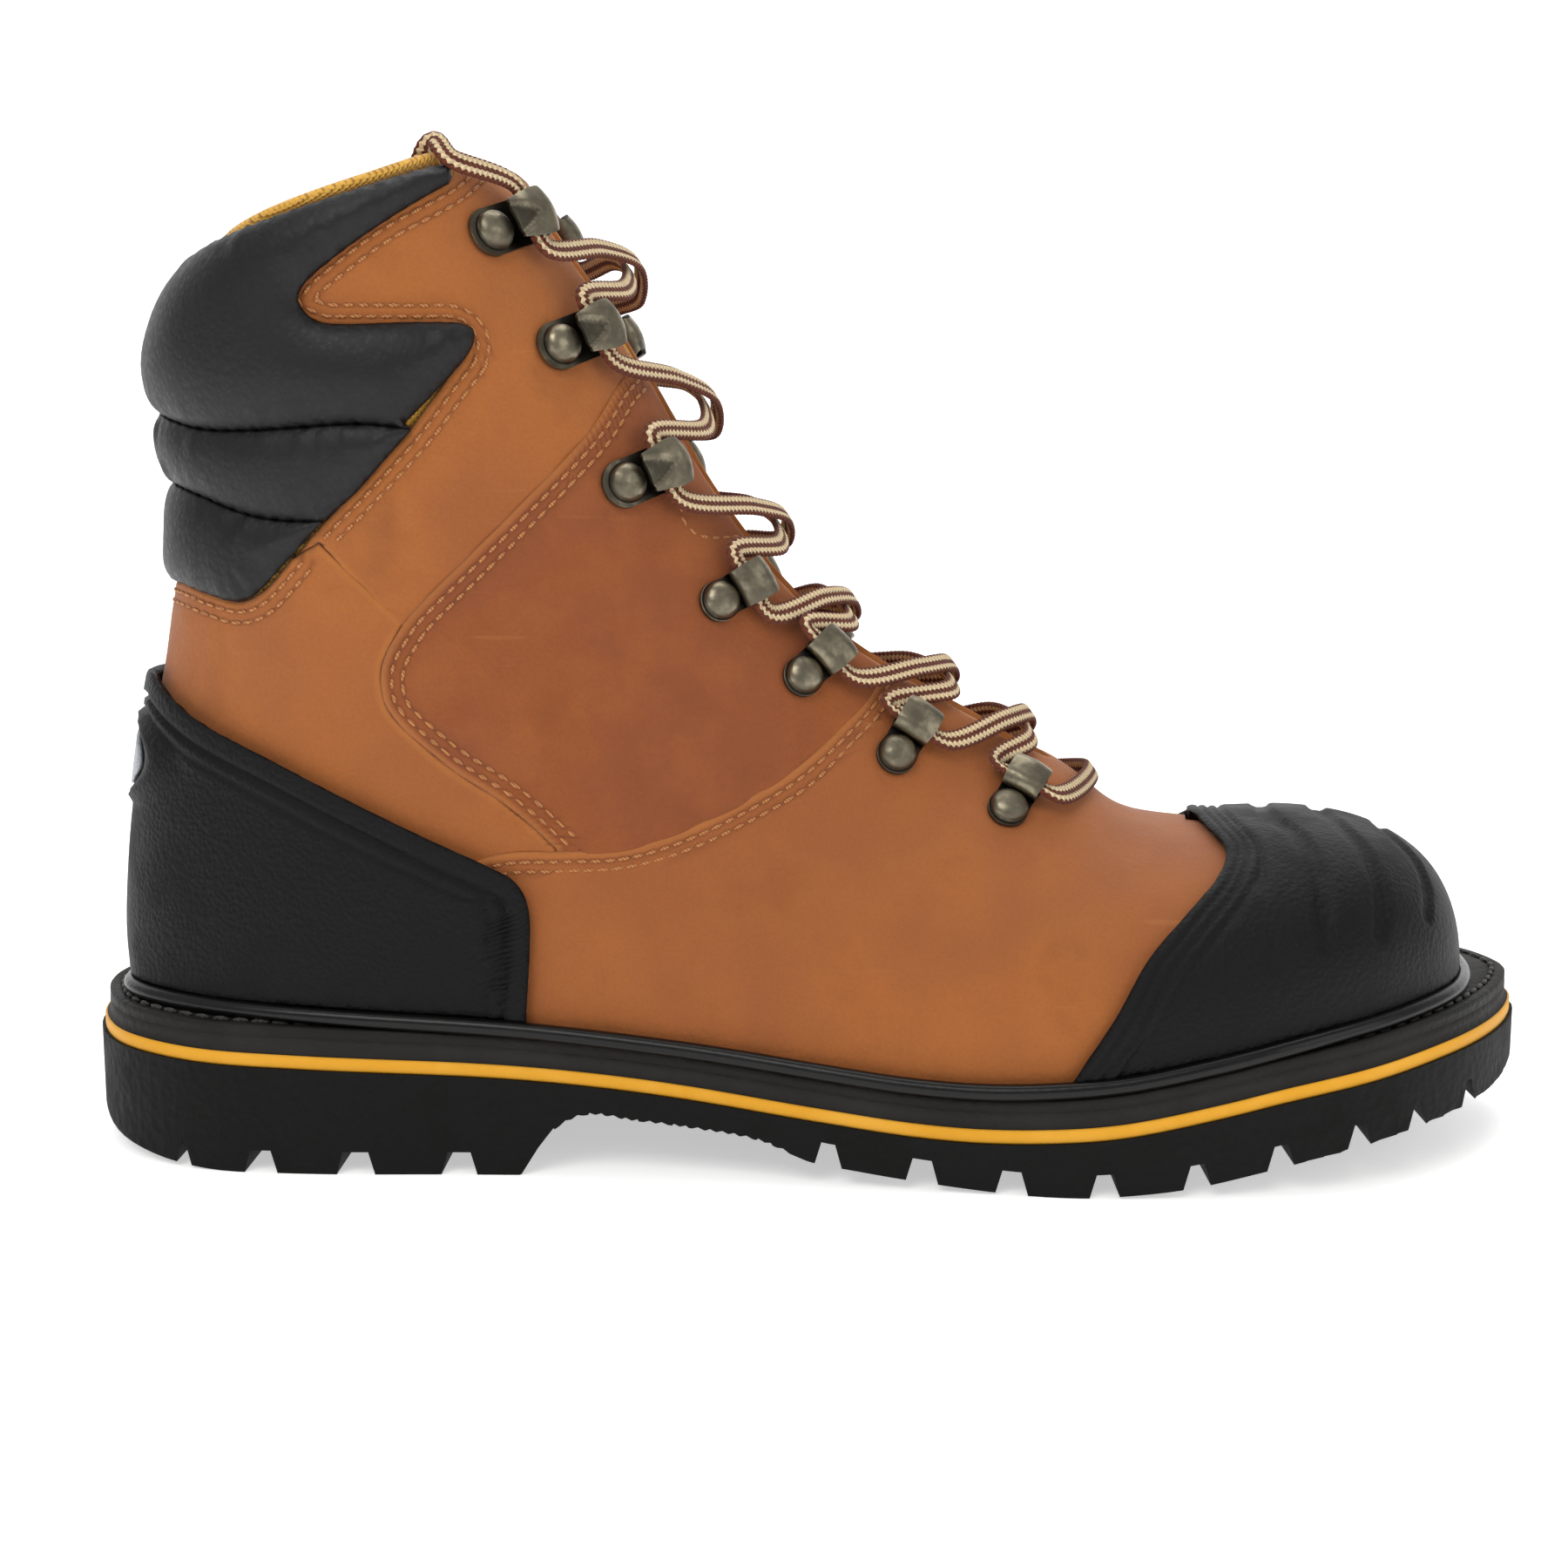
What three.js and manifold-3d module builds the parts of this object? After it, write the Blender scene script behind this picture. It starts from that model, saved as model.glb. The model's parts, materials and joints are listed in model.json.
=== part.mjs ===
// Steel toe work boot, right foot. Millimetres, +X to the toe, -Y lateral side, +Z up,
// origin on the ground under the middle of the sole.
import * as THREE from "three";
import { mergeVertices } from "three/addons/utils/BufferGeometryUtils.js";
import Module from "manifold-3d";

const wasm = await Module();
wasm.setup();

// ---- driving dimensions ----
const bootLength = 316.4; // over the outsole
const bootHeight = 206; // ground to the top of the facing
const ballWidth = 112; // across the outsole at the ball
const leatherThickness = 3.1; // foam backed panel
const liningThickness = 1.6;
const gap = 0.3; // clearance between two neighbouring pieces
const stripeThickness = 2.8;
const midsoleThickness = 3.4;
const weltThickness = 2.4;
const beadRadius = 1.75;
const lugDepth = 4.8;
const faceGapTop = 13; // half width of the lace opening at the top
const faceGapThroat = 7.5; // and at the throat
const laceWidth = 3.8;
const laceThickness = 1.6;
const rivetRadius = 3.6;
const rivetShank = 1.3;
const plateThickness = 1.0;
const padHeight = 4.4; // how far a collar pad stands out
const tongueThickness = 4;

const nominalLength = 316.4;
const nominalHeight = 206;
const nominalWidth = 112;
const soleTopZ = 40; // below this the height does not scale
const farZ = 280; // over every piece
const farY = 90; // outside every piece
const scaleX = (x) => (x * bootLength) / nominalLength;
const scaleY = (y) => (y * ballWidth) / nominalWidth;
const upperStretch = (bootHeight - soleTopZ) / (nominalHeight - soleTopZ);
const scaleZ = (z) => (z <= soleTopZ ? z : soleTopZ + (z - soleTopZ) * upperStretch);
const scaled = (points) => points.map(([x, z]) => [scaleX(x), scaleZ(z)]);

// ---- solids ----
function solidFrom(geometry) {
  const bare = new THREE.BufferGeometry().setAttribute("position", geometry.getAttribute("position"));
  if (geometry.index) bare.setIndex(geometry.index);
  const merged = mergeVertices(bare, 1e-4);
  return new wasm.Manifold(
    new wasm.Mesh({
      numProp: 3,
      vertProperties: new Float32Array(merged.attributes.position.array),
      triVerts: new Uint32Array(merged.index.array),
    }),
  );
}

function geometryFrom(solid) {
  const mesh = solid.getMesh();
  const position = new Float32Array(mesh.numVert * 3);
  for (let i = 0; i < mesh.numVert; i++) {
    position.set(mesh.vertProperties.subarray(i * mesh.numProp, i * mesh.numProp + 3), i * 3);
  }
  const geometry = new THREE.BufferGeometry();
  geometry.setAttribute("position", new THREE.BufferAttribute(position, 3));
  geometry.setIndex(new THREE.BufferAttribute(new Uint32Array(mesh.triVerts), 1));
  geometry.computeVertexNormals();
  return geometry;
}

// A closed solid over rings of equal point count, flat caps at both ends.
function loft(rings) {
  const count = rings[0].length;
  const position = rings.flat().flatMap((p) => [p.x, p.y, p.z]);
  const index = [];
  for (let i = 0; i < rings.length - 1; i++) {
    for (let j = 0; j < count; j++) {
      const a = i * count + j;
      const b = i * count + ((j + 1) % count);
      index.push(a, b, a + count, b, b + count, a + count);
    }
  }
  const last = (rings.length - 1) * count;
  for (let j = 1; j < count - 1; j++) {
    index.push(0, j + 1, j);
    index.push(last, last + j, last + j + 1);
  }
  const build = (triangles) => {
    const geometry = new THREE.BufferGeometry();
    geometry.setAttribute("position", new THREE.Float32BufferAttribute(position, 3));
    geometry.setIndex(triangles);
    return solidFrom(geometry);
  };
  const solid = build(index);
  if (solid.volume() > 0) return solid;
  for (let i = 0; i < index.length; i += 3) [index[i + 1], index[i + 2]] = [index[i + 2], index[i + 1]];
  return build(index);
}

function spline(points, steps) {
  const curve = new THREE.SplineCurve(points.map(([x, y]) => new THREE.Vector2(x, y)));
  return curve.getPoints(steps).map((p) => [p.x, p.y]);
}

const curve = (points) => spline(scaled(points), Math.round((points.length - 1) * 1.6));
const line = (points) => scaled(points);
const reversed = (points) => [...points].reverse();

// Curves and lines joined end to end, doubled points dropped.
function outline(...parts) {
  const points = [];
  for (const p of parts.flat()) {
    const q = points[points.length - 1];
    if (!q || Math.hypot(p[0] - q[0], p[1] - q[1]) > 0.05) points.push(p);
  }
  const [first, end] = [points[0], points[points.length - 1]];
  if (Math.hypot(first[0] - end[0], first[1] - end[1]) < 0.05) points.pop();
  return points;
}

// A smooth height over x through the points given.
function profile(points) {
  const at = scaled(points);
  const slope = (i) => {
    const a = at[Math.max(i - 1, 0)];
    const b = at[Math.min(i + 1, at.length - 1)];
    return (b[1] - a[1]) / (b[0] - a[0]);
  };
  return (x) => {
    let i = at.findIndex((p) => p[0] > x) - 1;
    if (i < 0) i = x < at[0][0] ? 0 : at.length - 2;
    const [[x0, z0], [x1, z1]] = [at[i], at[i + 1]];
    const u = Math.min(Math.max((x - x0) / (x1 - x0), 0), 1);
    const width = x1 - x0;
    const u2 = u * u;
    const u3 = u2 * u;
    const bend = slope(i) * (u3 - 2 * u2 + u) + slope(i + 1) * (u3 - u2);
    return z0 * (2 * u3 - 3 * u2 + 1) + z1 * (3 * u2 - 2 * u3) + width * bend;
  };
}

const area = (points) =>
  points.reduce((sum, [x, y], i) => {
    const [u, v] = points[(i + 1) % points.length];
    return sum + (x * v - u * y) / 2;
  }, 0);

// The outline moved outwards by distance, mitred at the corners.
function grown(points, distance) {
  const sign = area(points) > 0 ? 1 : -1;
  const count = points.length;
  return points.map(([x, y], i) => {
    const [px, py] = points[(i + count - 1) % count];
    const [nx, ny] = points[(i + 1) % count];
    const a = new THREE.Vector2(x - px, y - py).normalize();
    const b = new THREE.Vector2(nx - x, ny - y).normalize();
    const normal = new THREE.Vector2(a.y + b.y, -a.x - b.x).normalize();
    const cosHalf = Math.max(0.5, normal.x * a.y - normal.y * a.x);
    const move = (sign * distance) / cosHalf;
    return [x + normal.x * move, y + normal.y * move];
  });
}

function extruded(points, depth) {
  const shape = new THREE.Shape(points.map(([x, y]) => new THREE.Vector2(x, y)));
  return new THREE.ExtrudeGeometry(shape, { depth, bevelEnabled: false, curveSegments: 1 });
}

// A side view outline, drawn in X and Z, carried across from y0 to y1.
function sidePrism(points, y0, y1) {
  const geometry = extruded(points, y1 - y0);
  geometry.rotateX(Math.PI / 2);
  geometry.translate(0, y1, 0);
  return solidFrom(geometry);
}

// A plan outline, drawn in X and Y, carried up from z0 to z1.
function planPrism(points, z0, z1) {
  const geometry = extruded(points, z1 - z0);
  geometry.translate(0, 0, z0);
  return solidFrom(geometry);
}

const joined = (solids) => solids.reduce((all, one) => all.add(one));

// ---- the last: the surface every panel of the upper is drawn on ----
// front x, front z, back x, back z, lateral and medial half width, centre y,
// widest place, crown roundness, foot roundness, width left at the back end
const stations = [
  [-74, 222, -112, 206, 38.5, 38.5, 0, 0.5, 2.2, 2.3, 0.02],
  [-61, 205, -124, 190, 41, 41, 0, 0.5, 2.2, 2.3, 0.02],
  [-42, 178.5, -136, 166, 41, 41, 0, 0.5, 2.1, 2.3, 0.02],
  [-22, 145.5, -134.5, 137, 39, 39, 0, 0.5, 2.0, 2.2, 0.02],
  [-9, 127, -138, 112, 37.5, 37, 0, 0.5, 2.0, 2.2, 0.02],
  [3, 114, -143.5, 86, 36.5, 36, 0, 0.5, 2.0, 2.2, 0.03],
  [17, 104, -147, 60, 36, 35.5, 0, 0.55, 2.0, 2.2, 0.06],
  [27, 98, -147, 40, 36, 35.5, 0, 0.58, 2.0, 2.2, 0.16],
  [34, 94, -141, 26.5, 36, 35.5, 0, 0.6, 2.0, 2.2, 0.42],
  [41, 89.5, -120, 24.5, 36.5, 35.5, 0, 0.64, 2.0, 2.2, 0.78],
  [48, 84.5, -90, 23.5, 37.5, 36, 0, 0.66, 2.0, 2.3, 0.92],
  [57, 78, -35, 18, 41, 38, 0, 0.64, 2.0, 2.4, 0.93],
  [65, 71.5, 10, 13, 46.5, 42, 0, 0.66, 2.0, 2.4, 0.94],
  [75, 67.5, 50, 13, 49.5, 46.5, 0, 0.66, 2.1, 2.4, 0.95],
  [91, 65.5, 87, 18, 48.5, 46, 0.5, 0.64, 2.2, 2.4, 0.95],
  [109, 65.5, 111, 23, 43, 42, 1.5, 0.6, 2.3, 2.4, 0.95],
  [123, 63, 126, 25.5, 35, 36, 3, 0.55, 2.3, 2.4, 0.94],
  [132.5, 57.5, 135, 27, 25.5, 28, 4, 0.55, 2.2, 2.3, 0.9],
  [138.5, 49, 139.5, 28.5, 14, 16, 5, 0.52, 2.0, 2.2, 0.8],
  [140.8, 40.5, 140.9, 37.5, 3, 3, 5.5, 0.5, 2.0, 2.0, 0.5],
];
const lastStation = stations.length - 1;

function stationAt(t) {
  const i = Math.min(Math.max(Math.floor(t), 0), lastStation - 1);
  const u = t - i;
  const row = (k) => stations[Math.min(Math.max(k, 0), lastStation)];
  const [a, b, c, d] = [row(i - 1), row(i), row(i + 1), row(i + 2)];
  return b.map((_, k) => {
    const cubic = -a[k] + 3 * b[k] - 3 * c[k] + d[k];
    const square = 2 * a[k] - 5 * b[k] + 4 * c[k] - d[k];
    return 0.5 * (2 * b[k] + (c[k] - a[k]) * u + square * u * u + cubic * u * u * u);
  });
}

// side is -1 lateral, +1 medial; along runs 0 at the ridge to 1 at the back end
function lastPoint(t, along, side) {
  const [fx, fz, bx, bz, lateral, medial, centre, widest, crown, foot, end] = stationAt(t);
  const width = side < 0 ? lateral : medial;
  let share;
  if (along < widest) {
    share = Math.max(0, 1 - (1 - along / widest) ** crown) ** (1 / crown);
  } else {
    const u = (along - widest) / (1 - widest);
    share = (1 - end) * Math.max(0, 1 - u ** foot) ** (1 / foot) + end;
  }
  return new THREE.Vector3(
    scaleX(fx + (bx - fx) * along),
    scaleY(centre + side * width * share),
    scaleZ(fz + (bz - fz) * along),
  );
}

const alongAt = (angle) => (1 - Math.cos(angle)) / 2;

function lastNormal(t, angle, side) {
  const step = 1e-3;
  const ring = (k) => {
    // past the ridge the ring runs on over the other side
    const flip = k < 0;
    return lastPoint(t, alongAt(Math.min(Math.abs(k), Math.PI)), flip ? -side : side);
  };
  const lo = Math.max(t - 0.05, 0);
  const hi = Math.min(t + 0.05, lastStation);
  const along = alongAt(angle);
  const down = lastPoint(hi, along, side).sub(lastPoint(lo, along, side));
  const round = ring(Math.min(angle + step, Math.PI)).sub(ring(angle - step));
  const normal = new THREE.Vector3().crossVectors(down, round).multiplyScalar(side);
  if (angle < 1e-6 || angle > Math.PI - 1e-3) normal.y = 0;
  return normal.normalize();
}

function skinPoint(t, angle, side, offset) {
  const point = lastPoint(t, alongAt(angle), side);
  const height = typeof offset === "function" ? offset(point, t, angle) : offset;
  return point.addScaledVector(lastNormal(t, angle, side), height);
}

// The solid inside the last grown by offset, from station t0 to t1.
function skin(offset, t0 = 0, t1 = lastStation, rows = 20, columns = 8) {
  const rings = [];
  for (let i = 0; i <= rows; i++) {
    const t = t0 + ((t1 - t0) * i) / rows;
    const ring = [];
    for (let j = 0; j <= columns; j++) ring.push(skinPoint(t, (Math.PI * j) / columns, -1, offset));
    for (let j = columns; j > 0; j--) ring.push(skinPoint(t, (Math.PI * j) / columns, 1, offset));
    rings.push(ring);
  }
  return loft(rings);
}

const shell = (inner, outer, ...range) => skin(outer, ...range).subtract(skin(inner, ...range));

// ---- heights of the sole ----
const stripeTop = profile([
  [-160, 26.5], [-140, 26.3], [-120, 25.5], [-92, 24.5], [-60, 23], [-27, 19.8], [5, 15.8], [21, 14],
  [36, 13.3], [52, 14], [65, 15.5], [83, 19.2], [98, 22.5], [114, 25.2], [132, 27.5], [150, 28.3],
  [160, 28.3],
]);
const treadCurve = profile([
  [-160, 9], [-151, 4.5], [-140, 2], [-128, 0.5], [-118, 0], [-60, 0], [-57, 4.5], [-53, 9.5], [-46, 13],
  [-36, 12], [-25, 11], [-10, 9], [0, 5.2], [10, 3.6], [20, 2.3], [38, 0.5], [50, 0], [60, 0.3], [76, 2],
  [93, 5.5], [111, 9.3], [130, 12], [148, 14], [160, 16.5],
]);
const treadZ = (x) => Math.max(0, treadCurve(x));
const layerGap = 0.05;
const above = (height) => (x) => stripeTop(x) + height;
const midsoleTop = above(midsoleThickness);
const weltTop = above(midsoleThickness + weltThickness);

// Everything between two heights, across the whole width.
function slab(low, high, x0 = -170, x1 = 170, steps = 26) {
  const xs = Array.from({ length: steps + 1 }, (_, i) => scaleX(x0 + ((x1 - x0) * i) / steps));
  const under = xs.map((x) => [x, low(x)]);
  const over = xs.map((x) => [x, high(x)]).reverse();
  return sidePrism([...under, ...over], -farY, farY);
}

const soleEdge = new THREE.CatmullRomCurve3(
  [
    [-158.2, 0], [-155, -15], [-146, -29.5], [-130, -39.5], [-105, -43], [-70, -43], [-35, -44], [0, -49],
    [35, -53.5], [60, -56], [90, -54.5], [114, -49.5], [134, -36.5], [149, -18.5], [157, -2], [158.5, 6],
    [155.5, 19], [147, 31.5], [134, 41.5], [115, 49.5], [90, 54.5], [60, 56], [35, 52.5], [0, 45],
    [-35, 41], [-70, 41], [-105, 41], [-130, 37.5], [-146, 28.5], [-155, 15],
  ].map(([x, y]) => new THREE.Vector3(scaleX(x), scaleY(y), 0)),
  true,
);
const soleOutline = (inset) =>
  grown(soleEdge.getSpacedPoints(48).slice(0, 48).map((p) => [p.x, p.y]), -inset);

// ---- where the upper meets the welt ----
function solve(f, lo, hi) {
  const rising = f(hi) > f(lo);
  for (let i = 0; i < 40; i++) {
    const mid = (lo + hi) / 2;
    if (f(mid) > 0 === rising) hi = mid;
    else lo = mid;
  }
  return (lo + hi) / 2;
}

// The loop round the last at a height over the welt, moved out sideways by distance.
function footLoop(height, distance, steps = 20) {
  const over = (p) => p.z - weltTop(p.x) - height;
  const start = solve((t) => over(lastPoint(t, 1, -1)), 5, 9);
  const end = solve((t) => over(lastPoint(t, 1, -1)), 17, lastStation);
  const run = (side) =>
    Array.from({ length: steps + 1 }, (_, i) => {
      const t = start + ((end - start) * (1 - Math.cos((Math.PI * i) / steps))) / 2;
      const angle = solve((k) => over(lastPoint(t, alongAt(k), side)), 1.2, Math.PI);
      const point = lastPoint(t, alongAt(angle), side);
      const normal = lastNormal(t, Math.min(angle, Math.PI - 0.002), side);
      normal.z = 0;
      return point.addScaledVector(normal.normalize(), distance);
    });
  return [...run(-1), ...run(1).reverse()];
}
const footOutline = (distance) => {
  const points = footLoop(0, 0).map((p) => [p.x, p.y]);
  return grown(points, distance);
};

// A tube of any section round a closed loop or along an open path.
function sweep(path, section, across, closed = false) {
  const count = path.length;
  const rings = path.map((p, i) => {
    const before = closed ? path[(i + count - 1) % count] : path[Math.max(i - 1, 0)];
    const after = closed ? path[(i + 1) % count] : path[Math.min(i + 1, count - 1)];
    const tangent = after.clone().sub(before).normalize();
    const wide = new THREE.Vector3().crossVectors(tangent, across(p, i)).normalize();
    const high = new THREE.Vector3().crossVectors(wide, tangent);
    return section.map(([u, v]) => p.clone().addScaledVector(wide, u).addScaledVector(high, v));
  });
  if (!closed) return loft(rings);
  const size = section.length;
  const position = rings.flat().flatMap((p) => [p.x, p.y, p.z]);
  const index = [];
  for (let i = 0; i < count; i++) {
    for (let j = 0; j < size; j++) {
      const a = i * size + j;
      const b = i * size + ((j + 1) % size);
      const c = ((i + 1) % count) * size + j;
      const d = ((i + 1) % count) * size + ((j + 1) % size);
      index.push(a, b, c, b, d, c);
    }
  }
  const geometry = new THREE.BufferGeometry();
  geometry.setAttribute("position", new THREE.Float32BufferAttribute(position, 3));
  geometry.setIndex(index);
  const solid = solidFrom(geometry);
  if (solid.volume() > 0) return solid;
  for (let i = 0; i < index.length; i += 3) [index[i + 1], index[i + 2]] = [index[i + 2], index[i + 1]];
  geometry.setIndex(index);
  return solidFrom(geometry);
}
const roundSection = (radius, sides) =>
  Array.from({ length: sides }, (_, i) => [
    radius * Math.cos((2 * Math.PI * i) / sides),
    radius * Math.sin((2 * Math.PI * i) / sides),
  ]);
const upwards = () => new THREE.Vector3(0, 0, 1);

// ---- pieces ----
const boot = new THREE.Group();
boot.name = "boot";
const finishes = {
  leather: { color: 0xbe7332, roughness: 0.8 },
  collarLeather: { color: 0x232428, roughness: 0.5 },
  rubber: { color: 0x2a2c2e, roughness: 0.7 },
  tread: { color: 0x191818, roughness: 0.85 },
  stripe: { color: 0xe0a028, roughness: 0.6 },
  midsole: { color: 0x3c3a37, roughness: 0.8 },
  mesh: { color: 0xe1aa3c, roughness: 0.95 },
  board: { color: 0xb59a72, roughness: 0.9 },
  steel: { color: 0x9a9ca0, roughness: 0.35, metalness: 1 },
  brass: { color: 0x78706a, roughness: 0.4, metalness: 1 },
  reflective: { color: 0x8f9498, roughness: 0.4 },
  thread: { color: 0x2d2a28, roughness: 0.9 },
  lace: { color: 0x5a2d19, roughness: 0.9 },
};
const materials = Object.fromEntries(
  Object.entries(finishes).map(([name, look]) => [name, new THREE.MeshStandardMaterial(look)]),
);
function piece(name, finish, solid, matrix) {
  const mesh = new THREE.Mesh(geometryFrom(solid), materials[finish]);
  mesh.name = name;
  if (matrix) mesh.applyMatrix4(matrix);
  boot.add(mesh);
  return mesh;
}

// sole
const slabFoot = -5; // under every piece of the sole
const slabHead = 60; // over every piece of the sole
const grooves = [
  [-131, 3], [-114, 6.5], [-94, 7.5], [-72.5, 7], [4, 5], [23, 6], [41, 6], [59.5, 5.5], [78, 5],
  [95, 5], [111.5, 4.5], [125, 4], [139, 3.5],
];
const grooveFlare = 1.1;
const channelWidth = 5;
function grooveCut([x, width]) {
  const [x0, half] = [scaleX(x), width / 2];
  const [low, high] = [treadZ(x0) - 3, treadZ(x0) + lugDepth];
  const [wide, narrow] = [half + grooveFlare, half - grooveFlare];
  const shape = [[x0 - wide, low], [x0 + wide, low], [x0 + narrow, high], [x0 - narrow, high]];
  return sidePrism(shape, -farY, farY);
}
function channelCut(x0, x1, y) {
  const steps = 10;
  const xs = Array.from({ length: steps + 1 }, (_, i) => scaleX(x0 + ((x1 - x0) * i) / steps));
  const under = xs.map((x) => [x, treadZ(x) - 3]);
  const over = xs.map((x) => [x, treadZ(x) + lugDepth * 0.8]).reverse();
  return sidePrism([...under, ...over], scaleY(y) - channelWidth / 2, scaleY(y) + channelWidth / 2);
}
const treadCuts = joined([
  ...grooves.map(grooveCut),
  channelCut(-144, -61, -13),
  channelCut(-144, -61, 13),
  channelCut(8, 138, -17),
  channelCut(8, 138, 17),
]);
const outsole = planPrism(soleOutline(0), slabFoot, slabHead)
  .intersect(slab(treadZ, above(-stripeThickness - layerGap)))
  .subtract(treadCuts);
piece("outsole", "tread", outsole);
const layer = (inset, low, high) =>
  planPrism(soleOutline(inset), slabFoot, slabHead).intersect(slab(low, high));
piece("sole_stripe", "stripe", layer(0.8, above(-stripeThickness), above(0)));
const weltInset = 2; // midsole and welt edge behind the outsole edge
piece("midsole", "midsole", layer(weltInset, above(layerGap), midsoleTop));
const weltHole = planPrism(footOutline(-3.6), slabFoot, slabHead);
piece("welt", "rubber", layer(weltInset, above(midsoleThickness + layerGap), weltTop).subtract(weltHole));

// a round bar lying on the welt, its middle at distance from the last
function onWelt(name, finish, radius, distance, sides) {
  const loop = footLoop(beadRadius, distance).map((p) => p.setZ(weltTop(p.x) + radius + gap));
  piece(name, finish, sweep(loop, roundSection(radius, sides), upwards, true));
}
const beadSetOut = 2.3; // the bead stands clear of the guards
const threadRadius = 0.45;
onWelt("welt_bead", "rubber", beadRadius, beadRadius + beadSetOut, 5);
onWelt("welt_thread", "thread", threadRadius, 2 * beadRadius + beadSetOut + threadRadius, 4);

const inside = (distance, low, high) =>
  planPrism(footOutline(distance), slabFoot, slabHead).intersect(slab(low, high));
const corkThickness = 1.6;
const boardThickness = 2;
const corkTop = midsoleThickness + corkThickness;
const boardTop = corkTop + boardThickness;
const shank = { rear: -98, front: -6, halfWidth: 7 };
const shankPlan = [
  [shank.rear, -shank.halfWidth], [shank.front, -shank.halfWidth],
  [shank.front, shank.halfWidth], [shank.rear, shank.halfWidth],
].map(([x, y]) => [scaleX(x), y]);
const shankSlab = slab(above(midsoleThickness + 2 * layerGap), above(corkTop));
piece("steel_shank", "steel", planPrism(shankPlan, slabFoot, slabHead).intersect(shankSlab));
const cork = inside(-4, above(midsoleThickness + layerGap), above(corkTop));
piece("cork_filler", "board", cork.subtract(planPrism(grown(shankPlan, gap), slabFoot, slabHead)));
piece("insole_board", "board", inside(-5.7, above(corkTop + layerGap), above(boardTop)));
const footbed = { thickness: 3.6, heelRise: 2.4, riseFrom: -20, riseRun: 60 };
const footbedTop = (x) => {
  const share = THREE.MathUtils.clamp((footbed.riseFrom - x) / footbed.riseRun, 0, 1);
  return stripeTop(x) + boardTop + footbed.thickness + footbed.heelRise * share;
};
piece("footbed", "mesh", inside(-7.8, above(boardTop + layerGap), footbedTop));

// side view regions
const toplinePoints = [[-129, 185.5], [-107, 193], [-87, 199.5], [-68, 206.5], [-56, 205]];
const backOfTopline = [-140, 181.5];
const toplineRun = curve(toplinePoints);
const toplineZ = profile([backOfTopline, ...toplinePoints]);
const weltRun = Array.from({ length: 27 }, (_, i) => scaleX(-170 + (340 * i) / 26))
  .map((x) => [x, weltTop(x) + layerGap]);
const windowEdge = outline(
  toplineRun,
  line([[0, 215], [165, 215]]),
  reversed(weltRun),
  line([[-170, 60], [-170, 172], backOfTopline]),
);
const upperWindow = sidePrism(windowEdge, -farY, farY);
const slotHalf = [
  [-100, faceGapTop + 1], [-61, faceGapTop], [-20, faceGapTop - 1.5], [20, faceGapThroat + 1.5],
  [42, faceGapThroat], [49, faceGapThroat * 0.75], [53, faceGapThroat * 0.3],
];
const slotPlan = [
  ...slotHalf.map(([x, y]) => [scaleX(x), -y]),
  ...slotHalf.map(([x, y]) => [scaleX(x), y]).reverse(),
];
const slotSide = line([
  [-79, 200], [-40, 136], [-1, 93], [44, 68], [58, 62], [72, 90], [-40, 240], [-100, 240],
]);
const slot = planPrism(slotPlan, 40, farZ).intersect(sidePrism(slotSide, -40, 40));
const collarFront = curve([[-104.5, 127], [-98, 134], [-91, 140.5], [-80, 152], [-74.5, 159], [-68.5, 167]]);
const strapCorner = curve([[-68.5, 167], [-68, 170], [-70.5, 172.3], [-77, 172.3]]);
const strapTip = curve([
  [-95, 172.3], [-101.5, 175], [-102, 178.5], [-99, 182.5], [-94, 186.5], [-85, 193], [-73, 200.5],
  [-68, 207.5],
]);
const collarEdge = [...collarFront, ...strapCorner, ...strapTip];
const midUpper = curve([[-36.5, 166], [-40, 161.5], [-46, 151], [-61, 135], [-78, 118.5], [-82, 114]]);
const midRear = curve([
  [-82, 114], [-86, 107.5], [-87, 101.5], [-85, 95], [-75, 85.5], [-62, 76.5], [-52, 67.4],
]);
const vampFront = curve([
  [-52, 67], [-39, 67.3], [-27, 70.5], [-14, 76.5], [-3, 83], [8, 92.5], [16, 101],
]);
const vampRear = line([[-76, 62], [-72, 68], [-52, 67]]);
const backSeam = curve([[-82, 114], [-89, 120.5], [-99, 130]]);
const padFoot = curve([
  [-104.5, 127.2], [-107, 124.6], [-112, 119.8], [-117, 118], [-124, 119.3], [-131, 121], [-150, 121.5],
]);
const seamUpperPoints = [[-160, 158], [-137, 157.5], [-123, 153.5], [-109, 153], [-90, 154], [-79, 153]];
const seamLowerPoints = [[-160, 145], [-137, 144], [-125, 140], [-115, 136.5], [-107, 135], [-97, 134.7]];
const [seamUpper, seamLower] = [curve(seamUpperPoints), curve(seamLowerPoints)];
const strapFoot = line([[-104.5, 127]]);
const regions = {
  shaft: outline(
    midUpper,
    backSeam,
    strapFoot,
    collarEdge,
    line([[-60, 225], [-30, 200], [-10, 170], [-33, 168]]),
  ),
  mid: outline(midUpper, midRear, vampFront, line([[30, 112], [-5, 170], [-20, 178], [-33, 168]])),
  vamp: outline(vampRear, vampFront, line([[30, 115], [60, 100], [165, 90], [165, 5], [-76, 5]])),
  back: outline(
    line([[-99, 130]]),
    padFoot,
    line([[-165, 121], [-165, 5], [-76, 5]]),
    vampRear,
    reversed(midRear),
    backSeam,
  ),
  padUpper: outline(seamUpper, collarEdge.slice(6), line([[-72, 230], [-165, 230]])),
  padMiddle: outline(seamUpper, collarFront.slice(2, 5).reverse(), reversed(seamLower)),
  padLower: outline(seamLower, collarFront.slice(1, 2), padFoot),
};
const region = (name) => grown(regions[name], -gap / 2);

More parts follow.
